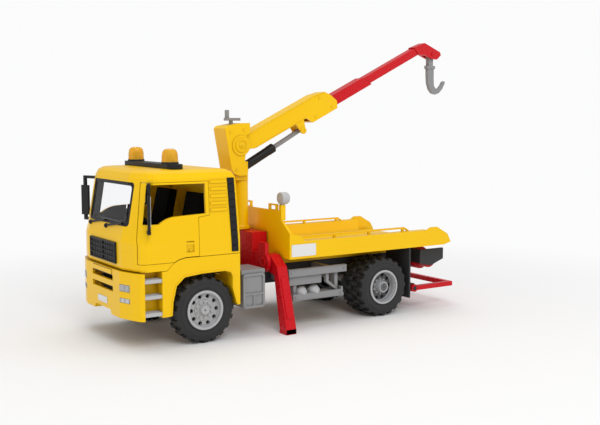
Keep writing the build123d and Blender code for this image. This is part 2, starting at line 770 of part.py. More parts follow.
# Boxes, rails and tanks on the frame's sides
frame_side_y = rail_y + rail_width / 2
box_low_z = 30.0
box_top_z = 65.5
box_x = front_axle_x - 55.2
box_length = 25.6
box_face_y = body_half - 1.0
for side, hand in ((1, "left"), (-1, "right")):
    with BuildPart() as toolbox:
        with BuildSketch(side_plane(side * (body_half - 34.0))):
            with Locations((box_x, (box_low_z + box_top_z) / 2)):
                RectangleRounded(box_length, box_top_z - box_low_z, 3)
        extrude(amount=-side * (box_face_y - body_half + 34.0))
        with BuildSketch(side_plane(side * box_face_y)):
            with Locations((box_x, (box_low_z + box_top_z) / 2)):
                RectangleRounded(box_length, box_top_z - box_low_z, 3)
                Rectangle(box_length - 5.0, box_top_z - box_low_z - 5.0, mode=Mode.SUBTRACT)
                with Locations((0, -3.3)):
                    Rectangle(box_length - 4.0, 2.2)
                with Locations((0, -9.5)):
                    Rectangle(2.2, 12.0)
        extrude(amount=-side * (body_half - box_face_y))
        with BuildSketch(Plane.XY.offset(box_top_z - 0.5)):
            with Locations((box_x, side * (body_half - 19.0))):
                Rectangle(box_length + 2.0, 34.0)
        extrude(amount=4.5)
        with Locations((box_x, side * (frame_side_y + body_half - 33.0) / 2, (box_low_z + box_top_z) / 2 + 4)):
            Box(box_length - 8.0, body_half - 33.0 - frame_side_y, 16.0)
    save(toolbox, f"toolbox_{hand}")
    with BuildPart() as side_rail:
        # Rear and front end from the front axle, low and high edge, and the far and near side of each bar
        for rear, front, low_z, high_z, deep, near in (
            (-173.0, -98.0, 57.3, 64.9, 5.0, 0.0),
            (-141.4, -100.0, 47.5, 58.0, 7.0, 3.0),
            (-168.0, -103.0, 31.0, 38.2, 14.0, 0.0),
            (-168.0, -165.4, 38.0, 41.0, 14.0, 0.0),
            (-110.0, -106.0, 37.0, 62.0, 12.0, 4.5),
        ):
            with BuildSketch(side_plane(side * (body_half - near))):
                with Locations((front_axle_x + (rear + front) / 2, (low_z + high_z) / 2)):
                    Rectangle(front - rear, high_z - low_z)
            extrude(amount=side * (deep - near))
        with BuildSketch(side_plane(side * (body_half - 3.0))):
            Polygon(
                (front_axle_x - 151.0, 58.0),
                (front_axle_x - 147.2, 58.0),
                (front_axle_x - 147.6, 47.4),
                (front_axle_x - 161.0, 37.6),
                (front_axle_x - 164.6, 37.6),
                (front_axle_x - 151.2, 48.6),
                align=None,
            )
        extrude(amount=side * 4.0)
        with BuildSketch(Plane.XY.offset(38.0)):
            with Locations(*[(front_axle_x + x, side * (body_half - 7.0)) for x in (-117.0, -133.8)]):
                RegularPolygon(7.0, 12)
        extrude(amount=7.0, taper=cone(3.0, 7.0))
        for x in (-108.0, -162.0):
            with BuildSketch(Plane.YZ.offset(front_axle_x + x - 2.0)):
                Polygon(
                    (side * frame_side_y, 48.0),
                    (side * frame_side_y, 62.0),
                    (side * (body_half - 4.5), 62.0),
                    (side * (body_half - 4.5), 33.0),
                    (side * (body_half - 13.5), 33.0),
                    (side * (body_half - 13.5), 48.0),
                    align=None,
                )
            extrude(amount=4.0)
    save(side_rail, f"tank_rail_{hand}")

# Crane base: central block, front plate with round ends, leg pins and two small blocks
base_front_x = front_axle_x - 79.0
plate_front_x = front_axle_x - 80.0
plate_rear_x = leg_front_x + clearance
base_rear_x = leg_front_x - leg_width_x - 0.6
with BuildPart() as crane_base:
    with BuildSketch(Plane.YZ.offset(base_rear_x)):
        with Locations((0, 84.0)):
            Rectangle(62.0, 36.0)
        with Locations((0, rail_top_z + 1.3)):
            Rectangle(2 * frame_side_y, 2.6)
    extrude(amount=base_front_x - base_rear_x)
    with BuildSketch(Plane.YZ.offset(plate_rear_x)):
        with Locations((0, leg_pivot_z + 2.0)):
            Rectangle(2 * leg_pivot_y, 16.0)
        for side in (1, -1):
            with Locations((side * leg_pivot_y, leg_pivot_z)):
                RegularPolygon(10.5, 20)
            with Locations((side * (leg_pivot_y - 1.9), 87.0)):
                Rectangle(13.0, 12.0)
    extrude(amount=plate_front_x - plate_rear_x)
    with BuildSketch(Plane.YZ.offset(leg_front_x - leg_width_x - clearance)):
        for side in (1, -1):
            with Locations((side * leg_pivot_y, leg_pivot_z)):
                Circle(leg_pin_r)
    extrude(amount=leg_width_x + 2 * clearance + 1.0)
save(crane_base, "crane_base")

# Outriggers: legs that fold up round the base's pins, with flat feet
leg_points = (
    (leg_pivot_y, leg_pivot_z + leg_root_r),
    (leg_pivot_y + 7.0, leg_pivot_z + 8.0),
    (leg_pivot_y + 21.0, leg_pivot_z - 3.0),
    (leg_pivot_y + 39.0, 6.0),
    (leg_pivot_y + 39.0, 0.0),
    (leg_pivot_y + 25.5, 0.0),
    (leg_pivot_y + 25.5, 6.0),
    (leg_pivot_y + 15.0, leg_pivot_z - 12.0),
    (leg_pivot_y, leg_pivot_z - leg_root_r),
)
for side, hand in ((1, "left"), (-1, "right")):
    with BuildPart() as leg:
        with BuildSketch(Plane.YZ.offset(leg_front_x - leg_width_x)):
            Polygon(*[(side * y, z) for y, z in leg_points], align=None)
            with Locations((side * leg_pivot_y, leg_pivot_z)):
                RegularPolygon(leg_root_r, 16, rotation=11.25)
                Circle(leg_pin_r + running, mode=Mode.SUBTRACT)
        extrude(amount=leg_width_x)
    save(leg, f"outrigger_{hand}")


def boom_point(u, w):
    """A point given along the boom from its pivot and square to it, as x and z."""
    a = radians(boom_rise)
    return (pivot_x - u * cos(a) + w * sin(a), pivot_z + u * sin(a) + w * cos(a))


def boom_plane(y):
    """The boom's own side plane: its x runs along the boom, its y square to it."""
    a = radians(boom_rise)
    return Plane(origin=(pivot_x, y, pivot_z), x_dir=(-cos(a), 0, sin(a)), z_dir=(0, 1, 0))


# Cylinder: its foot sits in the head's clevis and its eye between the boom's lugs
foot_u, foot_w = -8.9, -26.5
eye_u, eye_w = 82.2, -22.6
foot_x, foot_z = boom_point(foot_u, foot_w)
eye_x, eye_z = boom_point(eye_u, eye_w)
ear_low = 5.7
ear_high = 8.6
foot_pin_r = 2.0
barrel_r = 5.2
rod_r = 2.6

# Crane column with the head's two cheeks, the boom's pivot pin and the clevis
# The head's outline: x from the front axle, z
head_points = (
    (-57.0, 213.0),
    (-64.8, 169.0),
    (-68.0, 164.5),
    (-75.0, 162.0),
    (-84.0, 162.5),
    (-85.5, 168.0),
    (-81.5, 178.0),
    (-82.6, 190.0),
    (-83.9, 206.0),
    (-88.0, 208.0),
    (-87.8, 219.0),
    (-77.0, 218.9),
    (-60.0, 215.8),
)
# The space between the cheeks, open to the rear
head_space = (
    (-110.0, 171.5),
    (-70.5, 171.5),
    (-67.3, 175.0),
    (-60.8, 211.0),
    (-62.0, 212.3),
    (-78.5, 215.3),
    (-79.0, 225.0),
    (-110.0, 225.0),
)
collar_high = 3.0
column_r = 7.3
clevis_floor_z = foot_z - 5.6
with BuildPart() as column:
    for z, radius, high in ((slew_z, 9.5, collar_high), (slew_z + collar_high, column_r, 0)):
        with BuildSketch(upright_plane(column_x, z)):
            RegularPolygon(radius, 24)
        extrude(amount=high if high else clevis_floor_z + 3.0 - z)
    with BuildSketch(side_plane(0)):
        Polygon(*[(front_axle_x + x, z) for x, z in head_points], align=None)
    extrude(amount=head_half, both=True)
    with BuildSketch(side_plane(0)):
        with Locations((foot_x, foot_z)):
            Rectangle(14.5, 20.0)
    extrude(amount=ear_high, both=True)
    with BuildSketch(side_plane(0)):
        with Locations((pivot_x, pivot_z)):
            RegularPolygon(11, 20)
    extrude(amount=head_half + 1, both=True)
    with BuildSketch(side_plane(0)):
        Polygon(*[(front_axle_x + x, z) for x, z in head_space], align=None)
        with Locations((foot_x - 1.5, foot_z)):
            Rectangle(18.0, 21.0, mode=Mode.SUBTRACT)
        with Locations((pivot_x, pivot_z)):
            RegularPolygon(12, 20)
    extrude(amount=head_half - cheek, both=True, mode=Mode.SUBTRACT)
    with BuildSketch(side_plane(0)):
        with Locations((foot_x + 6.2, clevis_floor_z)):
            Rectangle(40.0, 20.0, align=(Align.MAX, Align.MIN))
    extrude(amount=ear_low, both=True, mode=Mode.SUBTRACT)
    with BuildSketch(side_plane(0)):
        with Locations((pivot_x, pivot_z)):
            Circle(pivot_pin_r)
    extrude(amount=head_half, both=True)
    with BuildSketch(side_plane(0)):
        with Locations((foot_x, foot_z)):
            Circle(foot_pin_r)
    extrude(amount=ear_high, both=True)
save(column, "crane_column")

# Slew ring: the dark disc under the column
ring_low_z = 102.0
with BuildPart() as slew_ring:
    with BuildSketch(upright_plane(column_x, ring_low_z)):
        RegularPolygon(8.5, 24)
    extrude(amount=slew_z - ring_low_z - clearance / 2)
save(slew_ring, "slew_ring")

# Crank on the head's top
crank_x = front_axle_x - 71.4
crank_low_z = 217.0
with BuildPart() as crank:
    with BuildSketch(upright_plane(crank_x, crank_low_z)):
        RegularPolygon(2.2, 12)
    extrude(amount=5.0)
    with BuildSketch(upright_plane(front_axle_x - 73.0, crank_low_z + 4.5)):
        SlotOverall(20, 6)
    extrude(amount=3.0)
    with BuildSketch(upright_plane(front_axle_x - 66.6, crank_low_z + 7.0)):
        RegularPolygon(2.4, 12)
    extrude(amount=9.0)
    with BuildSketch(side_plane(0)):
        Polygon(*[(front_axle_x + x, z) for x, z in head_points], align=None)
    extrude(amount=head_half, both=True, mode=Mode.SUBTRACT)
save(crank, "crank")

# Boom: an outer channel and two square tubes that slide out of it
tube_mid_w = -11.0
first_high = 6.2
second_high = first_high - tube_wall - clearance
nose_roof_w = tube_mid_w + first_high + clearance
outer_side_low_w = -12.0
outer_nose_low_w = -20.3
strap_w = outer_nose_low_w + 2.6
lug_r = 3.6
stub_r = 1.4
eye_r = 2.6
eye_half = 2.6
with BuildPart() as boom:
    with BuildSketch(boom_plane(0)):
        Polygon(
            (0, 7.6),
            (14, 6.6),
            (114, 6.6),
            (128, 4.2),
            (134.4, -3),
            (139.3, -12.3),
            (136.5, outer_nose_low_w),
            (98, outer_nose_low_w),
            (92, outer_side_low_w),
            (17, outer_side_low_w),
            (6, -8),
            (0, -8),
            align=None,
        )
        RegularPolygon(8, 20)
    extrude(amount=outer_half, both=True)
    with BuildSketch(boom_plane(0)):
        Polygon(
            (12, -40),
            (12, 6.6 - outer_wall),
            (90, 6.6 - outer_wall),
            (90, nose_roof_w),
            (150, nose_roof_w),
            (150, strap_w),
            (97, strap_w),
            (90, -30),
            align=None,
        )
    extrude(amount=outer_half - outer_wall, both=True, mode=Mode.SUBTRACT)
    for side in (1, -1):
        with BuildSketch(boom_plane(side * outer_half)):
            with Locations((eye_u, eye_w)):
                RegularPolygon(lug_r, 16)
            Polygon(
                (eye_u - lug_r, eye_w),
                (eye_u - 6, outer_side_low_w + 1),
                (eye_u + 6, outer_side_low_w + 1),
                (eye_u + lug_r, eye_w),
                align=None,
            )
        extrude(amount=-side * outer_wall)
        with BuildSketch(boom_plane(side * outer_half)):
            with Locations((eye_u, eye_w)):
                RegularPolygon(stub_r, 12)
        extrude(amount=-side * (outer_half - eye_half - clearance))
    with BuildSketch(boom_plane(0)):
        Circle(pivot_pin_r + running)
    extrude(amount=outer_half, both=True, mode=Mode.SUBTRACT)
save(boom, "boom_outer")


def tube(points, half, high, wall):
    """A square tube of the boom from its side outline; high is its half height."""
    with BuildPart() as made:
        with BuildSketch(boom_plane(0)):
            Polygon(*points, align=None)
        extrude(amount=half, both=True)
        with BuildSketch(boom_plane(0)):
            with Locations((180, tube_mid_w)):
                Rectangle(300, 2 * (high - wall))
        extrude(amount=half - wall, both=True, mode=Mode.SUBTRACT)
    return made


# Each tube's inner end is cut away below, so that it passes over the cylinder when it slides in
cut_slope = 0.83
first_rear_u = 76.0
first_end_u = 196.0
first_low_w = tube_mid_w - first_high
first_top_w = tube_mid_w + first_high
first = tube(
    (
        (first_rear_u, tube_mid_w - 1.5),
        (first_rear_u + 46, tube_mid_w - 1.5),
        (first_rear_u + 50, first_low_w),
        (first_end_u, first_low_w),
        (first_end_u - 2 * cut_slope * first_high, first_top_w),
        (first_rear_u, first_top_w),
    ),
    first_half,
    first_high,
    tube_wall,
)
save(first, "boom_first")

second_rear_u = 160.0
second_end_u = 284.0
second_low_w = tube_mid_w - second_high
second_top_w = tube_mid_w + second_high
tip_u, tip_w = 300.2, -24.5
tip_x, tip_z = boom_point(tip_u, tip_w)
tip_pin_r = 1.6
tip_half = 6.0
hook_half = 2.8
with BuildPart() as second:
    second_tube = tube(
        (
            (second_rear_u, tube_mid_w),
            (second_rear_u + 12, tube_mid_w),
            (second_rear_u + 15, second_low_w),
            (second_end_u, second_low_w),
            (second_end_u, second_top_w),
            (second_rear_u, second_top_w),
        ),
        second_half,
        second_high,
        tube_wall,
    )
    add(second_tube.part)
    with BuildSketch(boom_plane(0)):
        Polygon(
            (276, -5),
            (294, -6.8),
            (312.4, -27.2),
            (312, -31.2),
            (303.8, -33.3),
            (296.1, -28.8),
            (287.3, -19.3),
            (278.5, -16),
            align=None,
        )
    extrude(amount=tip_half, both=True)
    with BuildSketch(boom_plane(0)):
        Polygon(
            (289, -50),
            (289, -14),
            (294, -10.5),
            (320, -10.5),
            (320, -50),
            align=None,
        )
    extrude(amount=hook_half + clearance, both=True, mode=Mode.SUBTRACT)
    with BuildSketch(boom_plane(0)):
        with Locations((tip_u, tip_w)):
            Circle(tip_pin_r)
    extrude(amount=tip_half, both=True)
save(second, "boom_second")

# Hook: an eye on the head's pin, a neck, a block and the open hook
neck_points = ((3.5, 0), (3.5, -14), (6, -14), (6, -18), (-7, -18), (-7, -14), (-3.5, -14), (-3.5, 0))
hook_points = (
    (4.6, -17.5),
    (4.4, -28),
    (3.6, -36),
    (0.8, -43.5),
    (-3.6, -48),
    (-8.8, -49.6),
    (-14.5, -47.8),
    (-20, -42.6),
    (-24.4, -35.2),
    (-23.8, -32.6),
    (-21.6, -33.2),
    (-18.6, -38),
    (-15, -41.6),
    (-11, -43),
    (-8, -41.6),
    (-6, -38),
    (-5.4, -30),
    (-5.4, -17.5),
)
with BuildPart() as hook:
    with BuildSketch(side_plane(0)):
        Polygon(*[(tip_x + x, tip_z + z) for x, z in neck_points], align=None)
        with Locations((tip_x, tip_z)):
            RegularPolygon(4.2, 16)
            Circle(tip_pin_r + running, mode=Mode.SUBTRACT)
    extrude(amount=hook_half, both=True)
    with BuildSketch(side_plane(0)):
        Polygon(*[(tip_x + x, tip_z + z) for x, z in hook_points], align=None)
    extrude(amount=hook_half - 0.5, both=True)
save(hook, "hook")

# Cylinder of the boom: a barrel on the head's clevis and a rod to the boom's lugs
run = hypot(eye_x - foot_x, eye_z - foot_z)
ram_dir = ((eye_x - foot_x) / run, 0, (eye_z - foot_z) / run)
barrel_start = 6.5
barrel_end = 51.0
rod_start = 24.0


def ram_plane(distance):
    """A plane square to the cylinder, at a distance from its foot."""
    centre = (foot_x + ram_dir[0] * distance, 0, foot_z + ram_dir[2] * distance)
    return Plane(origin=centre, x_dir=(0, 1, 0), z_dir=ram_dir)


with BuildPart() as barrel:
    with BuildSketch(side_plane(0)):
        with Locations((foot_x, foot_z)):
            RegularPolygon(4.4, 16)
    extrude(amount=ear_low - clearance, both=True)
    with BuildSketch(ram_plane(2.0)):
        Rectangle(7, 7)
    extrude(amount=barrel_start - 1.0)
    for start, end, radius in ((barrel_start, barrel_end, barrel_r - 0.3), (barrel_end - 6.0, barrel_end, barrel_r)):
        with BuildSketch(ram_plane(start)):
            RegularPolygon(radius, 20)
        extrude(amount=end - start)
    with BuildSketch(ram_plane(barrel_start + 2.5)):
        RegularPolygon(rod_r + clearance, 16)
    extrude(amount=barrel_end, mode=Mode.SUBTRACT)
    with BuildSketch(side_plane(0)):
        with Locations((foot_x, foot_z)):
            Circle(foot_pin_r + running)
    extrude(amount=ear_high, both=True, mode=Mode.SUBTRACT)
save(barrel, "cylinder_barrel")
with BuildPart() as rod:
    with BuildSketch(ram_plane(rod_start)):
        RegularPolygon(rod_r, 16)
    extrude(amount=run - rod_start)
    with BuildSketch(side_plane(0)):
        with Locations((eye_x, eye_z)):
            RegularPolygon(eye_r, 16)
    extrude(amount=eye_half, both=True)
save(rod, "cylinder_rod")

# Deck: floor, hollow side boards, headboard with posts and loops, and the rails on the boards
board_points = (
    (deck_front_x, deck_low_z),
    (deck_front_x, 103.9),
    (deck_front_x - 14.5, 100.3),
    (deck_front_x - 17.5, 96.8),
    (deck_front_x - 19.5, board_top_z),
    (rear_axle_x - 62.0, board_top_z),
    (rear_axle_x - 68.0, 97.6),
    (rear_axle_x - 77.8, 97.6),
    (rear_axle_x - 94.0, 88.6),
    (deck_tail_x, 78.8),
    (deck_floor_end_x, deck_low_z),
)
board_low_y = body_half - 15.0
board_high_y = body_half - 11.5
headboard_half = body_half - 16.5
post_low_y = headboard_half - 4.5
post_top_z = 132.5
board_end_x = rear_axle_x - 66.0
bar_y = body_half - 10.0
bar_low_z = 97.2
bar_thick = 2.0
with BuildPart() as deck:
    with BuildSketch(Plane.XY.offset(deck_low_z)):
        with Locations(((deck_front_x + deck_floor_end_x) / 2, 0)):
            Rectangle(deck_front_x - deck_floor_end_x, 2 * board_low_y + board_wall)
        with Locations(((board_end_x + board_wall + deck_floor_end_x) / 2, 0)):
            Rectangle(board_end_x + board_wall - deck_floor_end_x, 2 * body_half - board_wall)
    extrude(amount=deck_thick)
    for side in (1, -1):
        with BuildSketch(side_plane(side * body_half)):
            Polygon(*board_points, align=None)
        extrude(amount=side * board_wall)
        with BuildSketch(Plane.YZ.offset(board_end_x)):
            Polygon(
                (side * (body_half - board_wall / 2), board_top_z),
                (side * board_high_y, board_top_z),
                (side * board_low_y, deck_floor_z - 1.0),
                (side * (board_low_y + board_wall), deck_floor_z - 1.0),
                (side * (board_high_y + 1.8), board_top_z - board_wall),
                (side * (body_half - board_wall / 2), board_top_z - board_wall),
                align=None,
            )
        extrude(amount=deck_front_x - board_end_x)
        with BuildSketch(Plane.YZ.offset(board_end_x)):
            Polygon(
                (side * (body_half - board_wall / 2), board_top_z),
                (side * board_high_y, board_top_z),
                (side * board_low_y, deck_floor_z - 1.0),
                (side * (body_half - board_wall / 2), deck_floor_z - 1.0),
                align=None,
            )
        extrude(amount=board_wall)
        with BuildSketch(side_plane(side * (bar_y + bar_thick / 2))):
            Polygon(
                (deck_front_x - 14.5, bar_low_z),
                (rear_axle_x - 34.0, bar_low_z),
                (rear_axle_x - 41.5, board_top_z - 1.0),
                (rear_axle_x - 44.5, board_top_z - 1.0),
                (rear_axle_x - 35.0, bar_low_z + bar_thick),
                (deck_front_x - 14.5, bar_low_z + bar_thick),
                align=None,
            )
            for x in (deck_front_x - 17.5, deck_front_x - 65.0, deck_front_x - 113.0, rear_axle_x - 32.6):
                with Locations((x, (board_top_z + bar_low_z) / 2)):
                    Rectangle(3.0, bar_low_z - board_top_z + 2.0)
        extrude(amount=side * bar_thick)
        with BuildSketch(Plane.XY.offset(rail_top_z)):
            with Locations(((deck_front_x - 12.0 + frame_rear_x) / 2, side * rail_y)):
                Rectangle(deck_front_x - 12.0 - frame_rear_x, rail_width)
        extrude(amount=deck_low_z - rail_top_z + 1.0)
        with BuildSketch(Plane.XY.offset(headboard_top_z - 10.0)):
            with Locations((deck_front_x - 2.8, side * (post_low_y + headboard_half) / 2)):
                Rectangle(5.6, headboard_half - post_low_y)
        extrude(amount=post_top_z - headboard_top_z + 10.0)
    with BuildSketch(Plane.YZ.offset(deck_front_x - headboard_thick)):
        Polygon(
            (-body_half, deck_low_z),
            (body_half, deck_low_z),
            (body_half, 103.7),
            (headboard_half, 116.0),
            (headboard_half, headboard_top_z),
            (-headboard_half, headboard_top_z),
            (-headboard_half, 116.0),
            (-body_half, 103.7),
            align=None,
        )
        for y, width in ((-12.3, 14.6), (40.7, 15.4)):
            with Locations((y, headboard_top_z + 2.9)):
                Rectangle(width, 7.6)
                Rectangle(width - 3.2, 4.4, mode=Mode.SUBTRACT)
    extrude(amount=headboard_thick)
save(deck, "deck")

lamp_r = 6.4
work_lamp_z = post_top_z + lamp_r + 0.6
with BuildPart() as work_lamps:
    for side in (1, -1):
        lamp_side_y = side * (post_low_y + headboard_half) / 2
        for rear, length, radius in ((9.0, 2.0, 5.2), (7.0, 7.0, lamp_r)):
            with BuildSketch(Plane.YZ.offset(deck_front_x - rear)):
                with Locations((lamp_side_y, work_lamp_z)):
                    RegularPolygon(radius, 20)
            extrude(amount=length)
        with BuildSketch(Plane.XY.offset(post_top_z)):
            with Locations((deck_front_x - 2.8, lamp_side_y)):
                Rectangle(4.0, 4.0)
        extrude(amount=3.0)
save(work_lamps, "work_lamps")

# Mudflaps behind the rear wheels, hung from the deck
with BuildPart() as mudflaps:
    for side in (1, -1):
        with BuildSketch(side_plane(side * (body_half - 2.0))):
            Polygon(
                (rear_axle_x - 37.0, 17.0),
                (rear_axle_x - 39.0, 17.0),
                (rear_axle_x - 39.0, deck_low_z),
                (rear_axle_x - 36.5, deck_low_z),
                align=None,
            )
        extrude(amount=side * (2 * rear_tyre_width + twin_gap + 3.0))
save(mudflaps, "mudflaps")

# Tail bracket: a cross plate behind the rails, and two side plates that hold the drum
drum_x = rear_axle_x - 79.0
drum_z = 57.5
drum_half = body_half - 15.0
tail_thick = 3.0
with BuildPart() as tail:
    with BuildSketch(Plane.YZ.offset(frame_rear_x - tail_thick)):
        with Locations((0, 62.0)):
            Rectangle(2 * drum_half + 6.0, 16.0)
    extrude(amount=tail_thick)
    for side in (1, -1):
        with BuildSketch(side_plane(side * (drum_half + 3.0))):
            Polygon(
                (frame_rear_x, 54.0),
                (frame_rear_x, 70.0),
                (deck_tail_x + 1.0, 70.0),
                (deck_tail_x + 1.0, 57.0),
                (drum_x, 50.0),
                align=None,
            )
        extrude(amount=side * 3.0)
save(tail, "tail_beam")

# Drum across the tail
with BuildPart() as drum:
    for half, radius in ((drum_half, 9.9), (body_half - 30.0, 13.2)):
        with BuildSketch(side_plane(0)):
            with Locations((drum_x, drum_z)):
                RegularPolygon(radius, 24)
        extrude(amount=half, both=True)
save(drum, "rear_drum")

# Tow fork below the tail, on its own beam
fork_pivot_x = rear_axle_x - 55.0
fork_pivot_z = 25.0
fork_arm_y = body_half - 15.0
fork_bar = 5.4
fork_pin_r = 1.8
fork_reach = 57.0
with BuildPart() as fork_beam:
    with Locations((fork_pivot_x, 0, fork_pivot_z)):
        Box(9, 2 * (fork_arm_y - fork_bar / 2 - clearance), 9)
    for side in (1, -1):
        with Locations((fork_pivot_x, side * rail_y, (fork_pivot_z + rail_low_z) / 2)):
            Box(9, rail_width, rail_low_z - fork_pivot_z)
    with BuildSketch(side_plane(0)):
        with Locations((fork_pivot_x, fork_pivot_z)):
            Circle(fork_pin_r)
    extrude(amount=fork_arm_y + fork_bar / 2 + 1, both=True)
save(fork_beam, "fork_beam")
with BuildPart() as fork:
    for side in (1, -1):
        with BuildSketch(side_plane(side * fork_arm_y)):
            with Locations((fork_pivot_x, fork_pivot_z)):
                RegularPolygon(4.5, 16)
            with Locations((fork_pivot_x - fork_reach / 2, fork_pivot_z)):
                Rectangle(fork_reach + fork_bar, fork_bar)
            with Locations((fork_pivot_x, fork_pivot_z)):
                Circle(fork_pin_r + running, mode=Mode.SUBTRACT)
        extrude(amount=fork_bar / 2, both=True)
    with Locations((fork_pivot_x - fork_reach, 0, fork_pivot_z)):
        Box(fork_bar, 2 * fork_arm_y, fork_bar)
save(fork, "tow_fork")
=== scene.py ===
from math import cos, pi, radians, sin

import bpy
import numpy as np
from mathutils import Euler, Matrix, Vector


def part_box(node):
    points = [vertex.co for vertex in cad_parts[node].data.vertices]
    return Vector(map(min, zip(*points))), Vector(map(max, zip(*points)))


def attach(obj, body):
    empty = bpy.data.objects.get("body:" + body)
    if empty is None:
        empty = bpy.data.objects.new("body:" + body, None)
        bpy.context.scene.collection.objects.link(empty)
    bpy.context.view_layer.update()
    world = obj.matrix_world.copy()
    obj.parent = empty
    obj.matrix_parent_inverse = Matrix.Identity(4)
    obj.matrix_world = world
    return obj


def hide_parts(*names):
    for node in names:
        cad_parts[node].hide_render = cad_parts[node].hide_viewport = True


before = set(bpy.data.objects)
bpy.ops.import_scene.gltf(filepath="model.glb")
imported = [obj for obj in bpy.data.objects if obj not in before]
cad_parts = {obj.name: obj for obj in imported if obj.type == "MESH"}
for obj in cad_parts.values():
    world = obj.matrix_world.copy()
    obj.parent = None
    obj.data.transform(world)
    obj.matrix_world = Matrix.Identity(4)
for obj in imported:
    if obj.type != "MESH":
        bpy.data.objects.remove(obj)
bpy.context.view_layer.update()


# Studio: matt white paper on the floor that fades into the white backdrop well away from the truck,
# so that no horizon shows. Near the truck it is plain paper and takes the soft shadow.
tyre_low, tyre_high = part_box("tyre_front_left")
front_axle_x = (tyre_low.x + tyre_high.x) / 2
floor_half = 6.0
fade_start, fade_end = 0.30, 0.72
backdrop_white = (0.97, 0.97, 0.975, 1.0)


def studio_material(name):
    """Matt paper whose share of plain white grows from 0 to 1 between two distances from the truck."""
    material = bpy.data.materials.new(name)
    material.use_nodes = True
    nodes, links = material.node_tree.nodes, material.node_tree.links
    paper = nodes["Principled BSDF"]
    paper.inputs["Base Color"].default_value = (0.90, 0.90, 0.90, 1.0)
    paper.inputs["Roughness"].default_value = 0.95
    paper.inputs["Specular IOR Level"].default_value = 0.1
    white = nodes.new("ShaderNodeEmission")
    white.inputs["Color"].default_value = backdrop_white
    place = nodes.new("ShaderNodeTexCoord")
    distance = nodes.new("ShaderNodeVectorMath")
    distance.operation = "LENGTH"
    links.new(place.outputs["Object"], distance.inputs[0])
    fade = nodes.new("ShaderNodeMapRange")
    fade.interpolation_type = "SMOOTHSTEP"
    fade.inputs["From Min"].default_value = fade_start
    fade.inputs["From Max"].default_value = fade_end
    links.new(distance.outputs["Value"], fade.inputs["Value"])
    mix = nodes.new("ShaderNodeMixShader")
    links.new(fade.outputs[0], mix.inputs["Fac"])
    links.new(paper.outputs[0], mix.inputs[1])
    links.new(white.outputs[0], mix.inputs[2])
    links.new(mix.outputs[0], nodes["Material Output"].inputs["Surface"])
    return material


floor_mesh = bpy.data.meshes.new("floor")
floor_mesh.from_pydata([
    (-floor_half, -floor_half, 0.0), (floor_half, -floor_half, 0.0),
    (floor_half, floor_half, 0.0), (-floor_half, floor_half, 0.0),
], [], [(0, 1, 2, 3)])
floor = bpy.data.objects.new("floor", floor_mesh)
bpy.context.scene.collection.objects.link(floor)
floor_mesh.materials.append(studio_material("studio paper"))

world = bpy.data.worlds.new("studio")
bpy.context.scene.world = world
world.use_nodes = True
world_nodes, world_links = world.node_tree.nodes, world.node_tree.links
ambient = world_nodes["Background"]
ambient.inputs["Color"].default_value = (1.0, 1.0, 1.0, 1.0)
ambient.inputs["Strength"].default_value = 0.55
backdrop = world_nodes.new("ShaderNodeBackground")
backdrop.inputs["Color"].default_value = backdrop_white
light_path = world_nodes.new("ShaderNodeLightPath")
seen = world_nodes.new("ShaderNodeMath")
seen.operation = "MAXIMUM"
backdrop_mix = world_nodes.new("ShaderNodeMixShader")
world_links.new(light_path.outputs["Is Camera Ray"], seen.inputs[0])
world_links.new(light_path.outputs["Is Transmission Ray"], seen.inputs[1])
world_links.new(seen.outputs[0], backdrop_mix.inputs["Fac"])
world_links.new(ambient.outputs[0], backdrop_mix.inputs[1])
world_links.new(backdrop.outputs[0], backdrop_mix.inputs[2])
world_links.new(backdrop_mix.outputs[0], world_nodes["World Output"].inputs["Surface"])


def soft_light(name, place, size, power):
    """A square soft box at place, in metres, turned to face the truck's middle."""
    lamp = bpy.data.lights.new(name, "AREA")
    lamp.shape = "SQUARE"
    lamp.size = size
    lamp.energy = power
    box = bpy.data.objects.new(name, lamp)
    bpy.context.scene.collection.objects.link(box)
    box.location = place
    towards = Vector((0.0, 0.0, 0.10)) - Vector(place)
    box.rotation_euler = towards.to_track_quat("-Z", "Y").to_euler()


soft_light("key light", (0.5, 1.6, 1.5), 1.0, 15.0)
soft_light("fill light", (-1.6, 1.2, 0.9), 1.4, 4.5)
soft_light("nose light", (1.9, 0.1, 0.7), 1.0, 3.0)
soft_light("top light", (-0.1, -0.3, 2.0), 1.5, 12.0)

# Camera: the photograph's place and lens, to the front left of the truck and a little above its
# wheels, measured from the front axle's line on the floor.
camera_ahead, camera_left, camera_high = 0.41015, 0.85397, 0.21906
camera_azimuth, camera_drop = 146.19, 5.71
camera_data = bpy.data.cameras.new("camera")
camera_data.lens = 53.74
camera_data.sensor_width = 36.0
camera_data.clip_start = 0.02
camera = bpy.data.objects.new("camera", camera_data)
bpy.context.scene.collection.objects.link(camera)
camera.location = (front_axle_x + camera_ahead, camera_left, camera_high)
camera.rotation_euler = Euler((pi / 2 - radians(camera_drop), 0.0, radians(camera_azimuth)))
bpy.context.scene.camera = camera
bpy.context.scene.view_settings.view_transform = "Standard"


# Ladder frame, tail plates, mudflaps and engine block: dark grey mouldings low under the body, dull
# and dusty, screwed together from below. Like all the truck's plastic they carry the mould's fine
# spark-eroded grain, slow changes of tone and gloss, softened edges and painted shade in the corners.
def new_group(name, inputs, outputs):
    """An empty shader group with sockets listed as (name, kind) and, for inputs, a default."""
    group = bpy.data.node_groups.new(name, "ShaderNodeTree")
    for socket, kind, value in inputs:
        made = group.interface.new_socket(socket, in_out="INPUT", socket_type=kind)
        made.default_value = value
    for socket, kind in outputs:
        group.interface.new_socket(socket, in_out="OUTPUT", socket_type=kind)
    return group, group.nodes.new("NodeGroupInput"), group.nodes.new("NodeGroupOutput")


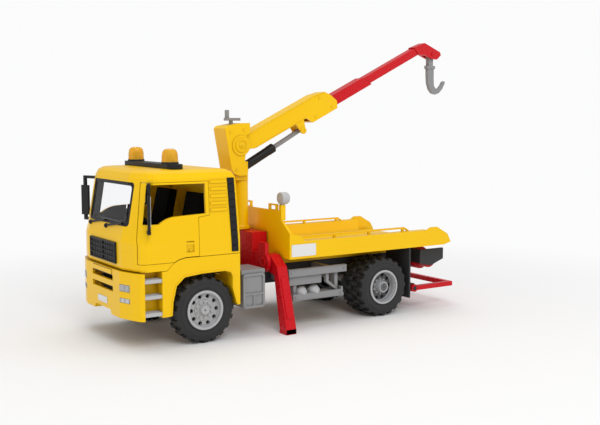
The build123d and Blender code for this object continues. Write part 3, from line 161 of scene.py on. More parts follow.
def math_node(tree, operation, first, second):
    """A Math node; each input is a socket or a number."""
    node = tree.nodes.new("ShaderNodeMath")
    node.operation = operation
    for place, value in enumerate((first, second)):
        if isinstance(value, (int, float)):
            node.inputs[place].default_value = value
        else:
            tree.links.new(value, node.inputs[place])
    return node.outputs[0]


def colour_mix(tree, blend, share, first, second):
    """A Mix node for colours; each input is a socket, or a number or colour."""
    node = tree.nodes.new("ShaderNodeMix")
    node.data_type = "RGBA"
    node.blend_type = blend
    for place, value in ((0, share), (6, first), (7, second)):
        if isinstance(value, bpy.types.NodeSocket):
            tree.links.new(value, node.inputs[place])
        else:
            node.inputs[place].default_value = value
    return node.outputs[2]


def noise(tree, place, scale, detail, rough=0.5):
    """Noise on a place socket; scale is in cycles a metre."""
    node = tree.nodes.new("ShaderNodeTexNoise")
    node.inputs["Scale"].default_value = scale
    node.inputs["Detail"].default_value = detail
    node.inputs["Roughness"].default_value = rough
    tree.links.new(place, node.inputs["Vector"])
    return node.outputs["Fac"]


def map_range(tree, value, low, high, to_low, to_high):
    """A clamped Map Range node."""
    node = tree.nodes.new("ShaderNodeMapRange")
    for name, number in (("From Min", low), ("From Max", high), ("To Min", to_low), ("To Max", to_high)):
        node.inputs[name].default_value = number
    tree.links.new(value, node.inputs["Value"])
    return node.outputs[0]


def make_moulding():
    """Colour with painted shade in its corners, roughness and normal of moulded plastic on object
    coordinates.
    """
    tree, start, end = new_group(
        "moulded plastic",
        [
            ("Colour", "NodeSocketColor", (0.8, 0.8, 0.8, 1.0)),
            ("Shade", "NodeSocketColor", (0.5, 0.5, 0.5, 1.0)),
            ("Gloss", "NodeSocketFloat", 0.35),
            ("Grain", "NodeSocketFloat", 0.15),
            ("Edge", "NodeSocketFloat", 0.0004),
        ],
        [("Colour", "NodeSocketColor"), ("Roughness", "NodeSocketFloat"), ("Normal", "NodeSocketVector")],
    )
    place = tree.nodes.new("ShaderNodeTexCoord").outputs["Object"]
    patch = map_range(tree, noise(tree, place, 18.0, 3.0), 0.35, 0.75, 0.0, 0.30)
    tone = colour_mix(tree, "MIX", patch, start.outputs["Colour"], start.outputs["Shade"])
    # Painted shade: ambient occlusion darkens the colour down to 62 percent in corners, creases and recesses.
    corners = tree.nodes.new("ShaderNodeAmbientOcclusion")
    corners.samples = 6
    corners.inputs["Distance"].default_value = 0.006
    painted_corner_shade = map_range(tree, corners.outputs["AO"], 0.25, 0.95, 0.62, 1.0)
    tree.links.new(colour_mix(tree, "MULTIPLY", 1.0, tone, painted_corner_shade), end.inputs["Colour"])
    flow = noise(tree, place, 70.0, 4.0, 0.6)
    gloss_change = math_node(tree, "MULTIPLY", math_node(tree, "SUBTRACT", flow, 0.5), 0.16)
    tree.links.new(math_node(tree, "ADD", start.outputs["Gloss"], gloss_change), end.inputs["Roughness"])
    soft_edge = tree.nodes.new("ShaderNodeBevel")
    soft_edge.samples = 4
    tree.links.new(start.outputs["Edge"], soft_edge.inputs["Radius"])
    bump = tree.nodes.new("ShaderNodeBump")
    bump.inputs["Distance"].default_value = 0.00006
    tree.links.new(start.outputs["Grain"], bump.inputs["Strength"])
    tree.links.new(noise(tree, place, 3200.0, 2.0), bump.inputs["Height"])
    tree.links.new(soft_edge.outputs[0], bump.inputs["Normal"])
    tree.links.new(bump.outputs[0], end.inputs["Normal"])
    return tree


moulding = make_moulding()


def plastic(name, colour, shade, gloss, grain, shine=0.22):
    """A moulded plastic: its colour, the shade of its slow patches, roughness, grain and shine."""
    material = bpy.data.materials.new(name)
    material.use_nodes = True
    nodes, links = material.node_tree.nodes, material.node_tree.links
    skin = nodes["Principled BSDF"]
    skin.inputs["Specular IOR Level"].default_value = shine
    surface = nodes.new("ShaderNodeGroup")
    surface.node_tree = moulding
    surface.inputs["Colour"].default_value = (*colour, 1.0)
    surface.inputs["Shade"].default_value = (*shade, 1.0)
    surface.inputs["Gloss"].default_value = gloss
    surface.inputs["Grain"].default_value = grain
    for output, socket in (("Colour", "Base Color"), ("Roughness", "Roughness"), ("Normal", "Normal")):
        links.new(surface.outputs[output], skin.inputs[socket])
    return material


def dress(material, *names):
    """Gives CAD nodes their material."""
    for name in names:
        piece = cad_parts[name]
        piece.data.materials.clear()
        piece.data.materials.append(material)


dark_grey = plastic("dark grey plastic", (0.035, 0.035, 0.038), (0.06, 0.057, 0.054), 0.55, 0.3)
dress(dark_grey, "frame", "tail_beam", "engine", "mudflaps")

# Axles: plain steel pins pressed in from the sides, dulled by handling.
# They carry the wheels, which spin freely on them.
steel = plastic("axle steel", (0.45, 0.45, 0.46), (0.34, 0.34, 0.35), 0.32, 0.1)
dress(steel, "axle_front", "axle_rear")


# Tyres: soft black plastic with a rounded shoulder, a bead at the rim, two fine rings on the wall and
# two staggered rows of lugs, pushed over the rims. The rear ones are twins.
MM = 0.001
wheel_r = 33.5
groove_r = 31.4
lug_count = 20
# Degrees from the middle of one outer lug to the start of the next, and where each row has its lug
pitch_steps = (-4.5, -3.9, -1.3, 1.3, 3.9, 4.5, 5.1, 7.7, 10.3, 12.9)
lug_steps = ((0, 1, 1, 1, 1, 0, 0, 0, 0, 0), (0, 0, 0, 0, 0, 0, 1, 1, 1, 1))
front_bands = ((52.0, 73.0),)
rear_bands = ((33.5, 52.5), (54.0, 73.0))
front_rim_r, rear_rim_r = 19.5, 19.0


def grid_faces(rows, columns, rows_closed=False, columns_closed=True):
    """The quads between neighbouring points of a grid that is numbered row by row."""
    row = np.arange(rows if rows_closed else rows - 1)[:, None]
    column = np.arange(columns if columns_closed else columns - 1)[None, :]
    next_row, next_column = (row + 1) % rows, (column + 1) % columns
    corners = (
        row * columns + column, row * columns + next_column,
        next_row * columns + next_column, next_row * columns + column,
    )
    return np.stack(corners, axis=-1).reshape(-1, 4).tolist()


def make_piece(name, body, material, parts, replaced=()):
    """One mesh of parts, each (points in metres, faces), that moves with a body."""
    points, faces = [], []
    for part_points, part_faces in parts:
        faces += [[len(points) + corner for corner in face] for face in part_faces]
        points += part_points.tolist()
    mesh = bpy.data.meshes.new(name)
    mesh.from_pydata(points, [], faces)
    mesh.update()
    mesh.shade_smooth()
    mesh.set_sharp_from_angle(angle=radians(38))
    mesh.materials.append(material)
    piece = bpy.data.objects.new(name, mesh)
    bpy.context.scene.collection.objects.link(piece)
    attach(piece, body)
    if replaced:
        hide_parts(*replaced)
    return piece


def tyre_band(axle_x, side, low_y, high_y, bore_r):
    """A tyre as a closed ring: at angle t and profile place s its radius is the mix
    R = (1 - m) G(s) + m L(s) of a groove profile G and a lug profile L, in mm, where m(t, s) is 1
    on a lug and 0 in a groove; the lugs of the two rows are half a pitch apart."""
    # Columns: distance in from the wall's face, radius in a groove, radius on a lug
    wall = (
        (3.2, bore_r, bore_r), (1.1, bore_r + 0.1, bore_r + 0.1), (0.5, bore_r + 0.7, bore_r + 0.7),
        (0.5, bore_r + 1.5, bore_r + 1.5), (1.0, bore_r + 1.9, bore_r + 1.9),
        (0.7, bore_r + 2.6, bore_r + 2.6), (0.15, bore_r + 4.6, bore_r + 4.6), (0.0, 25.6, 25.6),
        (0.05, 27.0, 27.0), (0.35, 27.3, 27.3), (0.1, 27.6, 27.6), (0.25, 29.2, 29.2), (0.8, 30.4, 30.6),
        (1.4, 31.0, 32.4), (2.2, 31.3, 33.2), (3.2, groove_r, wheel_r),
    )
    middle = (low_y + high_y) / 2
    # Columns: distance from the truck's middle, radius in a groove, radius on a lug, row of lugs
    profile = [(high_y - inset, groove, lug, 0) for inset, groove, lug in wall]
    profile += [(middle + 0.25, groove_r, wheel_r, 0), (middle - 0.25, groove_r, wheel_r, 1)]
    profile += [(low_y + inset, groove, lug, 1) for inset, groove, lug in reversed(wall)]
    along, groove, lug = (np.array(column)[:, None] for column in list(zip(*profile))[:3])
    row_of = [row for *_, row in profile]
    pitch = 360 / lug_count
    angles = np.radians((pitch * np.arange(lug_count)[:, None] + np.array(pitch_steps)).ravel())
    mask = np.tile(np.array(lug_steps, float)[row_of], lug_count)
    radius = groove + mask * (lug - groove)
    points = np.stack(np.broadcast_arrays(
        axle_x + radius * np.cos(angles) * MM,
        side * along * MM,
        (wheel_r + radius * np.sin(angles)) * MM,
    ), axis=-1)
    faces = grid_faces(len(profile), len(angles), rows_closed=True)
    return points.reshape(-1, 3), faces if side > 0 else [face[::-1] for face in faces]


rubber = plastic("tyre rubber", (0.030, 0.030, 0.031), (0.045, 0.044, 0.043), 0.55, 0.4)
for axle, bands, rim_r in (("front", front_bands, front_rim_r), ("rear", rear_bands, rear_rim_r)):
    axle_low, axle_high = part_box(f"tyre_{axle}_left")
    axle_x = (axle_low.x + axle_high.x) / 2
    for side, hand in ((1, "left"), (-1, "right")):
        tyre = make_piece(
            f"tyre_{axle}_{hand}_moulded", f"wheel_{axle}_{hand}", rubber,
            [tyre_band(axle_x, side, low, high, rim_r) for low, high in bands],
            (f"tyre_{axle}_{hand}",),
        )


# Rims: silver-grey dished discs pressed on the axles, with a rolled outer lip, hand holes, ten wheel
# nuts with washers and a stepped hub cap. A dark disc behind each rim is painted shade seen through
# the holes, and the rear dish is coloured darker than its lip as painted shade in its deep recess.
wheel_face_y = 73.0
nut_count = 10


def turned(profile, place, axis, sides=48, ribs=0, rib_depth=0.0):
    """A surface of revolution: P = place + a n + (r + d cos k t) (u cos t + v sin t) for a profile of
    (a, r) in mm along the axis n, with k ribs of depth d. Where r is 0 it closes in one point. The
    profile runs so that n is up and r is outward."""
    n = Vector(axis).normalized()
    u = n.orthogonal().normalized()
    v = n.cross(u)
    rise, reach = np.array(profile).T
    t = 2 * pi * np.arange(sides) / sides
    spoke = np.cos(t)[:, None] * np.array(u) + np.sin(t)[:, None] * np.array(v)
    radius = reach[reach > 0][:, None] + rib_depth * np.cos(ribs * t)
    rows = rise[reach > 0][:, None, None] * np.array(n) + radius[..., None] * spoke
    points = [rows.reshape(-1, 3)]
    faces = grid_faces(len(rows), sides)
    poles = [end for end in (0, -1) if reach[end] == 0]
    for tip, end in enumerate(poles, start=len(rows) * sides):
        points.append(rise[end] * np.array(n)[None])
        edge = np.arange(sides) + (0 if end == 0 else (len(rows) - 1) * sides)
        after = np.roll(edge, -1)
        fan = (np.full(sides, tip), after, edge) if end == 0 else (edge, after, np.full(sides, tip))
        faces += np.stack(fan, axis=-1).tolist()
    return np.array(place) + np.vstack(points) * MM, faces


def at(x, y, z):
    """A place in metres from mm ahead of the front axle, to the left and up."""
    return np.array((front_axle_x + x * MM, y * MM, z * MM))


silver = plastic("silver grey plastic", (0.43, 0.43, 0.435), (0.36, 0.36, 0.365), 0.28, 0.12)
# Painted shade: the deep rear dish is coloured dark grey, darker than its lip and cap.
rear_dish_painted_shade = plastic("rear dish painted shade", (0.13, 0.13, 0.135), (0.10, 0.10, 0.105), 0.38, 0.15)
bright_grey = plastic("bright lip grey", (0.45, 0.455, 0.465), (0.38, 0.385, 0.395), 0.24, 0.08)
nut = ((0.0, 1.5), (0.25, 1.5), (0.3, 1.1), (1.1, 1.05), (1.35, 0.7), (1.4, 0.0))
# Painted shade: a dark disc behind each rim darkens the view through its holes.
hole_shade_disc = ((-12.1, 17.0), (-11.7, 16.8), (-11.5, 16.0), (-11.5, 6.0))
# Columns: axle, rim radius, dish depth, radius of the nuts' circle, cap radius, disc and hub materials
for axle, rim_r, dish, nut_circle, cap_r, disc, hub in (
    ("front", front_rim_r, 4.0, 8.0, 4.5, silver, silver),
    ("rear", rear_rim_r, 9.0, 8.4, 6.5, rear_dish_painted_shade, bright_grey),
):
    axle_low, axle_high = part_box(f"tyre_{axle}_left")
    axle_x = (axle_low.x + axle_high.x) / 2
    for side, hand in ((1, "left"), (-1, "right")):
        wheel = f"wheel_{axle}_{hand}"
        out = (0, side, 0)
        face = np.array((axle_x, side * wheel_face_y * MM, wheel_r * MM))
        lip = (
            (-0.8, rim_r + 0.5), (-0.1, rim_r + 0.35), (0.25, rim_r - 0.3), (0.3, rim_r - 1.2),
            (0.0, rim_r - 1.9), (-0.8, rim_r - 2.3), (0.9 - dish, rim_r - 2.35),
            (0.3 - dish, rim_r - 2.9), (0.05 - dish, rim_r - 3.3),
        )
        make_piece(f"rim_lip_{axle}_{hand}", wheel, bright_grey, [turned(lip, face, out, 72)])
        parts = []
        for k in range(nut_count):
            t = 2 * pi * (k + 0.5) / nut_count
            foot = face + np.array((nut_circle * cos(t), side * (0.75 - dish), nut_circle * sin(t))) * MM
            parts.append(turned(nut, foot, out, 12))
        cap_foot, cap_top = 0.7 - dish, -0.8
        cap = (
            (cap_foot, cap_r + 1.3), (cap_foot + 0.5, cap_r + 1.2), (cap_foot + 0.6, cap_r + 0.4),
            (cap_top - 0.6, cap_r + 0.1), (cap_top, cap_r - 0.5), (cap_top + 0.05, cap_r - 1.6),
            (cap_top - 0.4, cap_r - 1.9), (cap_top - 0.4, 1.2), (cap_top, 0.9), (cap_top, 0.0),
        )
        parts.append(turned(cap, face, out, 40))
        make_piece(f"hub_{axle}_{hand}", wheel, hub, parts)
        # The dark disc behind the rim is painted shade in its holes.
        make_piece(f"rim_hole_shade_{axle}_{hand}", wheel, dark_grey, [turned(hole_shade_disc, face, out, 40)])
        dress(disc, f"rim_{axle}_{hand}")


# Bumper: a hollow yellow moulding, clipped to the frame's front end. On it are the flap over the
# slots with its dark seam, a blank white plate, and a slim trim down each end where the shell stops.
nose_x = 78.5
forward = ((0, 1, 0), (0, 0, 1))
corner_low_z, corner_high = 32.0, 42.0
corner_strip = ((70.28, 70.45), (70.03, 71.04), (68.75, 72.32), (67.6, 71.3), (69.3, 69.9))


def unit(vectors):
    """Vectors along the last axis, each made 1 long."""
    vectors = np.array(vectors, float)
    return vectors / np.linalg.norm(vectors, axis=-1, keepdims=True)


def plate(outline, place, u, v, thick, bevel):
    """A plate with a softened rim: P = place + a u + b v + c n, with n = u x v, for an anticlockwise
    outline of (a, b) in mm; c rises by thick, and the face's outline is moved in by bevel along the
    line that halves each corner."""
    u, v = unit(u), unit(v)
    outline = np.array(outline, float)
    before, after = unit(outline - np.roll(outline, 1, axis=0)), unit(np.roll(outline, -1, axis=0) - outline)
    reach = bevel / np.maximum(0.3, 1 + (before * after).sum(axis=1))
    turn = before + after
    inner = outline + reach[:, None] * np.column_stack((-turn[:, 1], turn[:, 0]))
    levels = [(outline, 0.0), (outline, thick - bevel)] + ([(inner, thick)] if bevel else [])
    points = np.vstack([loop @ np.array((u, v)) + rise * np.cross(u, v) for loop, rise in levels])
    count = len(outline)
    top = list(range((len(levels) - 1) * count, len(levels) * count))
    faces = [top, list(reversed(range(count)))] + grid_faces(len(levels), count)
    return np.array(place) + points * MM, faces


def rounded(width, high, corner, steps=5):
    """A rounded rectangle about its centre, anticlockwise, in mm: four quarter turns of a corner
    circle, each about its own centre."""
    quarter = np.arange(4)[:, None]
    t = pi / 2 * (quarter - 1 + np.arange(steps) / (steps - 1))
    across = np.array((1, 1, -1, -1))[:, None] * (width / 2 - corner) + corner * np.cos(t)
    upward = np.array((-1, 1, 1, -1))[:, None] * (high / 2 - corner) + corner * np.sin(t)
    return np.column_stack((across.ravel(), upward.ravel()))


yellow = plastic("yellow plastic", (0.93, 0.565, 0.0), (0.88, 0.49, 0.0), 0.32, 0.10)
black = plastic("black plastic", (0.014, 0.014, 0.015), (0.022, 0.021, 0.021), 0.42, 0.25)
blank_white = plastic("blank white", (0.78, 0.78, 0.77), (0.70, 0.70, 0.69), 0.40, 0.05)
dress(yellow, "bumper")
make_piece("bumper_flap", "chassis", yellow, [
    plate(rounded(50.0, 4.6, 1.2), at(nose_x - 0.1, 0, 72.7), *forward, 0.9, 0.35),
])
make_piece("bumper_seam", "chassis", black, [
    plate(rounded(51.2, 5.8, 1.6), at(nose_x - 0.1, 0, 72.5), *forward, 0.25, 0.08),
])
make_piece("bumper_corners", "chassis", yellow, [
    plate([(x, side * y) for x, y in corner_strip[::side]], at(0, 0, corner_low_z), (1, 0, 0), (0, 1, 0),
          corner_high, 0.0)
    for side in (1, -1)
])
make_piece("blank_plate", "chassis", blank_white, [
    plate(rounded(24.0, 6.6, 0.8), at(nose_x - 0.05, 0, 42.2), *forward, 0.7, 0.2),
])

# Headlamps: silvered reflector boxes snapped into the bumper's pockets, in two rows a side. The upper
# row has two round bowls, and slim uprights part both rows.
lamp_y, lamp_half = 51.5, 7.5
facet_back, facet_in = 5.0, 18.0
upper_row_z, lower_row_z = 60.2, 48.0
bowl_spread, bar_spread = 3.6, 6.9
chrome = plastic("lamp silver", (0.55, 0.55, 0.56), (0.42, 0.42, 0.43), 0.16, 0.05, shine=0.6)
dress(chrome, "headlamps")
bowl = ((-0.2, 2.9), (0.6, 2.8), (0.7, 2.4), (0.0, 2.0), (-0.1, 1.0), (0.5, 0.6), (0.8, 0.0))
bowls, bars = [], []
for side in (1, -1):
    facing = unit((facet_in, side * facet_back, 0.0))
    across = unit((-side * facet_back, facet_in, 0.0))
    face_x = nose_x - facet_back * lamp_half / facet_in
    for shift in (-bowl_spread, bowl_spread):
        place = at(face_x, side * lamp_y, upper_row_z) + across * shift * MM
        bowls.append(turned(bowl, place, facing, 24))
    for z, high in ((upper_row_z, 6.0), (lower_row_z, 3.8)):
        for shift in (-bar_spread, 0.0, bar_spread):
            place = at(face_x, side * lamp_y, z) + across * shift * MM
            bars.append(plate(rounded(0.6, high, 0.2, 3), place, across, (0, 0, 1), 0.55, 0.15))
make_piece("lamp_bowls", "chassis", chrome, bowls)
make_piece("lamp_bars", "chassis", bright_grey, bars)


# Fenders: yellow mouldings over the front wheels, screwed to the frame behind the bumper. A raised,
# rounded bead runs along the edge of each wheel opening.
body_half = 75.0


def bead(path, normal, width, high, closed=False):
    """A half-round rib along a flat path in metres: P = path + a w/2 across + b h n, where (a, b) is a
    section of five points and across is square to the path, lengthened at each bend as in a mitre."""
    n = unit(normal)
    path = np.array(path)
    if closed:
        first, second = path - np.roll(path, 1, axis=0), np.roll(path, -1, axis=0) - path
    else:
        steps = np.diff(path, axis=0)
        first, second = np.vstack((steps[:1], steps)), np.vstack((steps, steps[-1:]))
    first, second = unit(first), unit(second)
    bend = unit(first + second)
    across = np.cross(n, bend) / np.maximum(0.35, (bend * first).sum(axis=1))[:, None]
    section = np.array(((-1.0, -0.3), (-0.8, 0.6), (0.0, 1.0), (0.8, 0.6), (1.0, -0.3)))
    out, up = section[:, :1] * width / 2 * MM, section[:, 1:] * high * MM
    points = path[:, None] + across[:, None] * out + n * up
    return points.reshape(-1, 3), grid_faces(len(path), len(section), closed, False)


dress(yellow, "fender_left", "fender_right")
wheel_opening = (
    (38.0, 33.0), (37.0, 46.0), (33.0, 62.0), (24.0, 70.0), (5.0, 72.0), (-21.0, 72.4),
    (-28.0, 70.5), (-30.5, 66.0), (-30.5, 54.0), (-35.0, 38.0),
)
for side, hand in ((1, "left"), (-1, "right")):
    path = [at(x, side * body_half, z) for x, z in wheel_opening[::side]]
    make_piece(f"fender_bead_{hand}", "chassis", yellow, [bead(path, (0, side, 0), 1.8, 0.7)])

# Steps: light grey treads pushed into the gap between bumper and fender, three a side, each with
# three raised ribs against slipping.
step_rear_x, step_front_x = 49.0, 64.5
light_grey = plastic("light grey plastic", (0.50, 0.50, 0.505), (0.43, 0.43, 0.435), 0.30, 0.10)
dress(light_grey, "steps_left", "steps_right")
for side, hand in ((1, "left"), (-1, "right")):
    make_piece(f"step_ribs_{hand}", "chassis", light_grey, [
        bead([at(step_rear_x, side * y, z), at(step_front_x, side * y, z)], (0, 0, 1), 1.1, 0.45)
        for z in (37.6, 54.5, 70.0) for y in (71.3, 68.9, 66.5)
    ])

# Toolboxes and tank rails: mid grey mouldings hung on the frame between the wheels, with bolt heads
# at their corners, ribs along the rails' edges, and the two round tanks' bright domed tops.
toolbox_x, bolt_spread = -55.2, 10.6
tank_y, tank_z = 68.0, 38.2
box_grey = plastic("box grey plastic", (0.27, 0.27, 0.275), (0.22, 0.22, 0.225), 0.30, 0.12)
dress(box_grey, "toolbox_left", "toolbox_right", "tank_rail_left", "tank_rail_right")
bolt = ((-0.2, 1.3), (0.5, 1.25), (0.8, 0.9), (0.85, 0.0))
tank_top = ((-1.2, 7.15), (0.5, 7.1), (2.8, 6.5), (4.8, 5.3), (6.3, 3.6), (7.1, 1.8), (7.35, 0.0))
rail_bolts = ((-170.0, 61.1), (-101.0, 61.1), (-165.0, 34.6), (-106.0, 34.6))
# Columns: rear end, front end and height of each rail's rib
rail_ribs = ((-172.6, -98.4, 64.2), (-167.6, -103.4, 31.7))
for side, hand in ((1, "left"), (-1, "right")):
    out = (0, side, 0)
    rail_face = side * (body_half - 0.1)
    parts = [
        turned(bolt, at(toolbox_x + dx, rail_face, z), out, 12)
        for dx in (-bolt_spread, bolt_spread) for z in (33.0, 62.6)
    ]
    parts += [turned(bolt, at(x, side * body_half, z), out, 12) for x, z in rail_bolts]
    parts += [bead([at(rear, rail_face, z), at(front, rail_face, z)], out, 1.0, 0.45)
              for rear, front, z in rail_ribs]
    make_piece(f"side_bolts_{hand}", "chassis", box_grey, parts)
    make_piece(f"tank_tops_{hand}", "chassis", bright_grey, [
        turned(tank_top, at(x, side * tank_y, tank_z), (0, 0, 1), 40) for x in (-117.0, -133.8)
    ])

# Cab shell: one hollow yellow moulding with louvres beside the doors, hinged at its front foot, over
# the engine block.
dress(yellow, "cab")

# Snorkels: ribbed black strips, one down each rear corner of the cab, pressed into a channel there.
# They stand a little proud of the shell.
dress(black, "snorkel_left", "snorkel_right")

# Seats and dashboard: a dull black insert pushed up into the shell from below, before the floor.
dull_black = plastic(
    "dull black plastic", (0.006, 0.006, 0.006), (0.010, 0.010, 0.010), 0.85, 0.20, shine=0.03,
)
dress(dull_black, "seats", "dashboard")

# Doors: yellow shells on pins at their front edge, with a round lock below each handle. The faces
# that look into the cab are coloured black: there normal and place point opposite ways across the truck.
black_inside = plastic("lined door plastic", (0.93, 0.565, 0.0), (0.88, 0.49, 0.0), 0.32, 0.10)
tree = black_inside.node_tree
door_view = tree.nodes.new("ShaderNodeTexCoord")
door_place, door_normal = (tree.nodes.new("ShaderNodeSeparateXYZ") for _ in range(2))
tree.links.new(door_view.outputs["Object"], door_place.inputs[0])
tree.links.new(door_view.outputs["Normal"], door_normal.inputs[0])
outward = math_node(tree, "MULTIPLY", door_place.outputs["Y"], door_normal.outputs["Y"])
inward = math_node(tree, "LESS_THAN", outward, -0.04)
skin = tree.nodes["Principled BSDF"]
skin_colour = skin.inputs["Base Color"].links[0].from_socket
inner_face_colour = colour_mix(tree, "MIX", inward, skin_colour, (0.010, 0.010, 0.010, 1.0))
tree.links.new(inner_face_colour, skin.inputs["Base Color"])
dress(black_inside, "door_left", "door_right")
lock_x, lock_z = 17.0, 95.5
lock = ((-0.3, 1.3), (0.35, 1.25), (0.5, 0.9), (0.3, 0.6), (0.3, 0.0))
for side, hand in ((1, "left"), (-1, "right")):
    make_piece(f"door_lock_{hand}", f"door_{hand}_body", yellow, [
        turned(lock, at(lock_x, side * (body_half - 0.05), lock_z), (0, side, 0), 20),
    ])

# Mirrors: black housings on two arms, snapped into the doors' front edges, with a bright sheet set
# in the rear face of each.
mirror_x, mirror_y, mirror_z = 63.6, 82.5, 136.0
mirror_depth = 1.42
dress(black, "mirror_left", "mirror_right")
mirror_glass = plastic("mirror silver", (0.75, 0.76, 0.78), (0.68, 0.69, 0.71), 0.10, 0.02, shine=0.8)
for side, hand in ((1, "left"), (-1, "right")):
    back = unit((-0.9, side * 0.43, 0.0))
    across = unit((-side * 0.43, -0.9, 0.0))
    make_piece(f"mirror_glass_{hand}", f"door_{hand}_body", mirror_glass, [
        plate(rounded(9.0, 29.0, 1.5), at(mirror_x, side * mirror_y, mirror_z) + back * mirror_depth * MM,
              across, (0, 0, 1), 0.35, 0.1),
    ])

# Grille: a black panel snapped into the nose, with a rounded surround, a strong middle upright and
# slim ones over the moulded openings.
grille_x = 78.0
grille_half, grille_low_z, grille_high_z = 32.8, 82.7, 102.4
dress(black, "grille")
corners = (
    (-grille_half, grille_low_z), (grille_half, grille_low_z), (grille_half, grille_high_z),
    (-grille_half, grille_high_z),
)
parts = [bead([at(grille_x, y, z) for y, z in corners], (1, 0, 0), 1.3, 0.7, True)]
parts += [bead([at(grille_x, k * 4.6, 84.4), at(grille_x, k * 4.6, 100.8)], (1, 0, 0), 0.7, 0.35)
          for k in range(-6, 7) if k]
parts.append(bead([at(grille_x, 0, 83.5), at(grille_x, 0, 101.6)], (1, 0, 0), 1.8, 0.6))
make_piece("grille_bars", "cab_body", black, parts)


# Windshield: a clear bent pane, pressed into its opening from outside. A broad black border, a seal
# along its edge and a deeper black return behind it hold it.
waist_z, pane_rise = 112.0, 50.0
waist_nose_x, nose_lean = 74.5, 8.0
side_lean = 2.6


def clear(name, colour, roughness, ior=1.45, clearness=1.0):
    """A clear moulding of one colour, with fine ripples from the mould; the rest of it is milky."""
    material = bpy.data.materials.new(name)
    material.use_nodes = True
    nodes, links = material.node_tree.nodes, material.node_tree.links
    skin = nodes["Principled BSDF"]
    skin.inputs["Base Color"].default_value = (*colour, 1.0)
    skin.inputs["Roughness"].default_value = roughness
    skin.inputs["Transmission Weight"].default_value = clearness
    skin.inputs["IOR"].default_value = ior
    ripple = nodes.new("ShaderNodeBump")
    ripple.inputs["Distance"].default_value = 0.00005
    ripple.inputs["Strength"].default_value = 0.2
    place = nodes.new("ShaderNodeTexCoord").outputs["Object"]
    links.new(noise(material.node_tree, place, 160.0, 2.0), ripple.inputs["Height"])
    links.new(ripple.outputs[0], skin.inputs["Normal"])
    return material


def pane_places(outline, proud):
    """Places on the nose's facets: x falls with height as the nose leans back, and again beyond the
    fold near each side, for an outline of (y, z) in mm, moved out from the pane's face by proud."""
    y, z = outline.T
    share = (z - waist_z) / pane_rise
    fold_y = body_half - 0.4 - side_lean * share - 31.0
    back = np.maximum(0.0, (np.abs(y) - fold_y) * facet_back / facet_in)
    x = waist_nose_x - nose_lean * share - back - 1.22 + proud
    return np.column_stack((x, y, z))


def pane_ring(outer, inner, proud, thick):
    """A flat border between two matching outlines of (y, z), laid on the pane and folded with it."""
    rows = [(outer, proud), (outer, proud + thick), (inner, proud + thick), (inner, proud)]
    points = np.vstack([pane_places(outline, height) for outline, height in rows])
    return at(0, 0, 0) + points * MM, grid_faces(len(rows), len(outer))


def pane_outline(half_y, low_z, high_z, corner):
    """A rounded outline with many points on its long sides, so that it can fold: on each side a line
    of 25 points, then 5 points of the corner's quarter circle."""
    low, high = np.array((-half_y, low_z)), np.array((half_y, high_z))
    share, quarter_share = np.arange(25)[:, None] / 24, np.arange(1, 6) / 6
    loop = []
    for quarter, (start_high, end_high) in enumerate((
        ((0, 0), (1, 0)), ((1, 0), (1, 1)), ((1, 1), (0, 1)), ((0, 1), (0, 0)),
    )):
        inset = np.array((corner, 0.0)) if quarter % 2 == 0 else np.array((0.0, corner))
        towards = 1 if quarter < 2 else -1
        start = np.where(start_high, high, low) + towards * inset
        end = np.where(end_high, high, low) - towards * inset
        loop.append(start + (end - start) * share)
        centre = np.where(end_high, high - corner, low + corner)
        t = pi / 2 * (quarter - 1 + quarter_share)
        loop.append(centre + corner * np.column_stack((np.cos(t), np.sin(t))))
    return np.vstack(loop)


dress(clear("window pane", (0.95, 0.96, 0.97), 0.02, 1.12), "windshield")
make_piece("windshield_border", "cab_body", black, [
    pane_ring(pane_outline(50.8, 119.7, 161.8, 4.0), pane_outline(46.6, 122.6, 158.6, 3.4), 0.06, 0.12),
    pane_ring(pane_outline(50.9, 119.6, 161.9, 4.0), pane_outline(49.9, 120.6, 160.9, 3.4), 0.18, 0.65),
    pane_ring(pane_outline(50.4, 120.0, 161.4, 3.8), pane_outline(49.0, 121.2, 160.0, 3.0), -9.5, 7.9),
])

# Wipers: two flat black arms on pivots below the pane, each pivot under a round nut.
# The arms are pressed on and don't turn.
dress(black, "wipers")
pane_normal = unit((pane_rise, 0.0, nose_lean))
pane_upward = unit((-nose_lean, 0.0, pane_rise))
wiper_nut = ((1.3, 1.9), (2.0, 1.8), (2.5, 1.2), (2.6, 0.0))
make_piece("wiper_nuts", "cab_body", black, [
    turned(wiper_nut, at(waist_nose_x, y, waist_z) + pane_upward * 4.6 * MM, pane_normal, 16)
    for y in (2.0, -40.0)
])

# Light bar: a black bar glued on the roof, with two ribbed amber domes over silver reflectors, each
# on a black foot ring.
dress(black, "light_bar")
beacon_low, beacon_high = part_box("beacons")
bar_x = (beacon_low.x + beacon_high.x) / 2
beacon_y = 41.3
amber = clear("amber lens", (1.0, 0.60, 0.04), 0.12, 1.3, 0.5)
dome = (
    (0.2, 7.4), (0.2, 8.2), (3.0, 8.1), (9.0, 7.8), (11.6, 7.3), (13.4, 6.3), (14.6, 4.6), (15.0, 2.6),
    (15.0, 0.0),
)
dome_inside = ((14.2, 0.0), (14.0, 2.4), (13.0, 5.4), (11.2, 6.4), (0.2, 7.4))
reflector = ((0.3, 4.4), (1.2, 4.2), (5.0, 3.3), (9.0, 3.1), (10.4, 2.4), (10.8, 0.0))
foot_ring = ((-0.1, 8.9), (1.4, 8.8), (1.9, 8.4), (1.9, 8.0))
feet = [(bar_x, y * MM, beacon_low.z) for y in (beacon_y, -beacon_y)]
domes = []
for foot in feet:
    domes += [turned(dome, foot, (0, 0, 1), 96, 24, 0.14), turned(dome_inside, foot, (0, 0, 1))]
beacon_domes = make_piece("beacon_domes", "cab_body", amber, domes, ("beacons",))
make_piece("beacon_reflectors", "cab_body", chrome, [turned(reflector, foot, (0, 0, 1), 32) for foot in feet])
make_piece("beacon_feet", "cab_body", black, [turned(foot_ring, foot, (0, 0, 1)) for foot in feet])

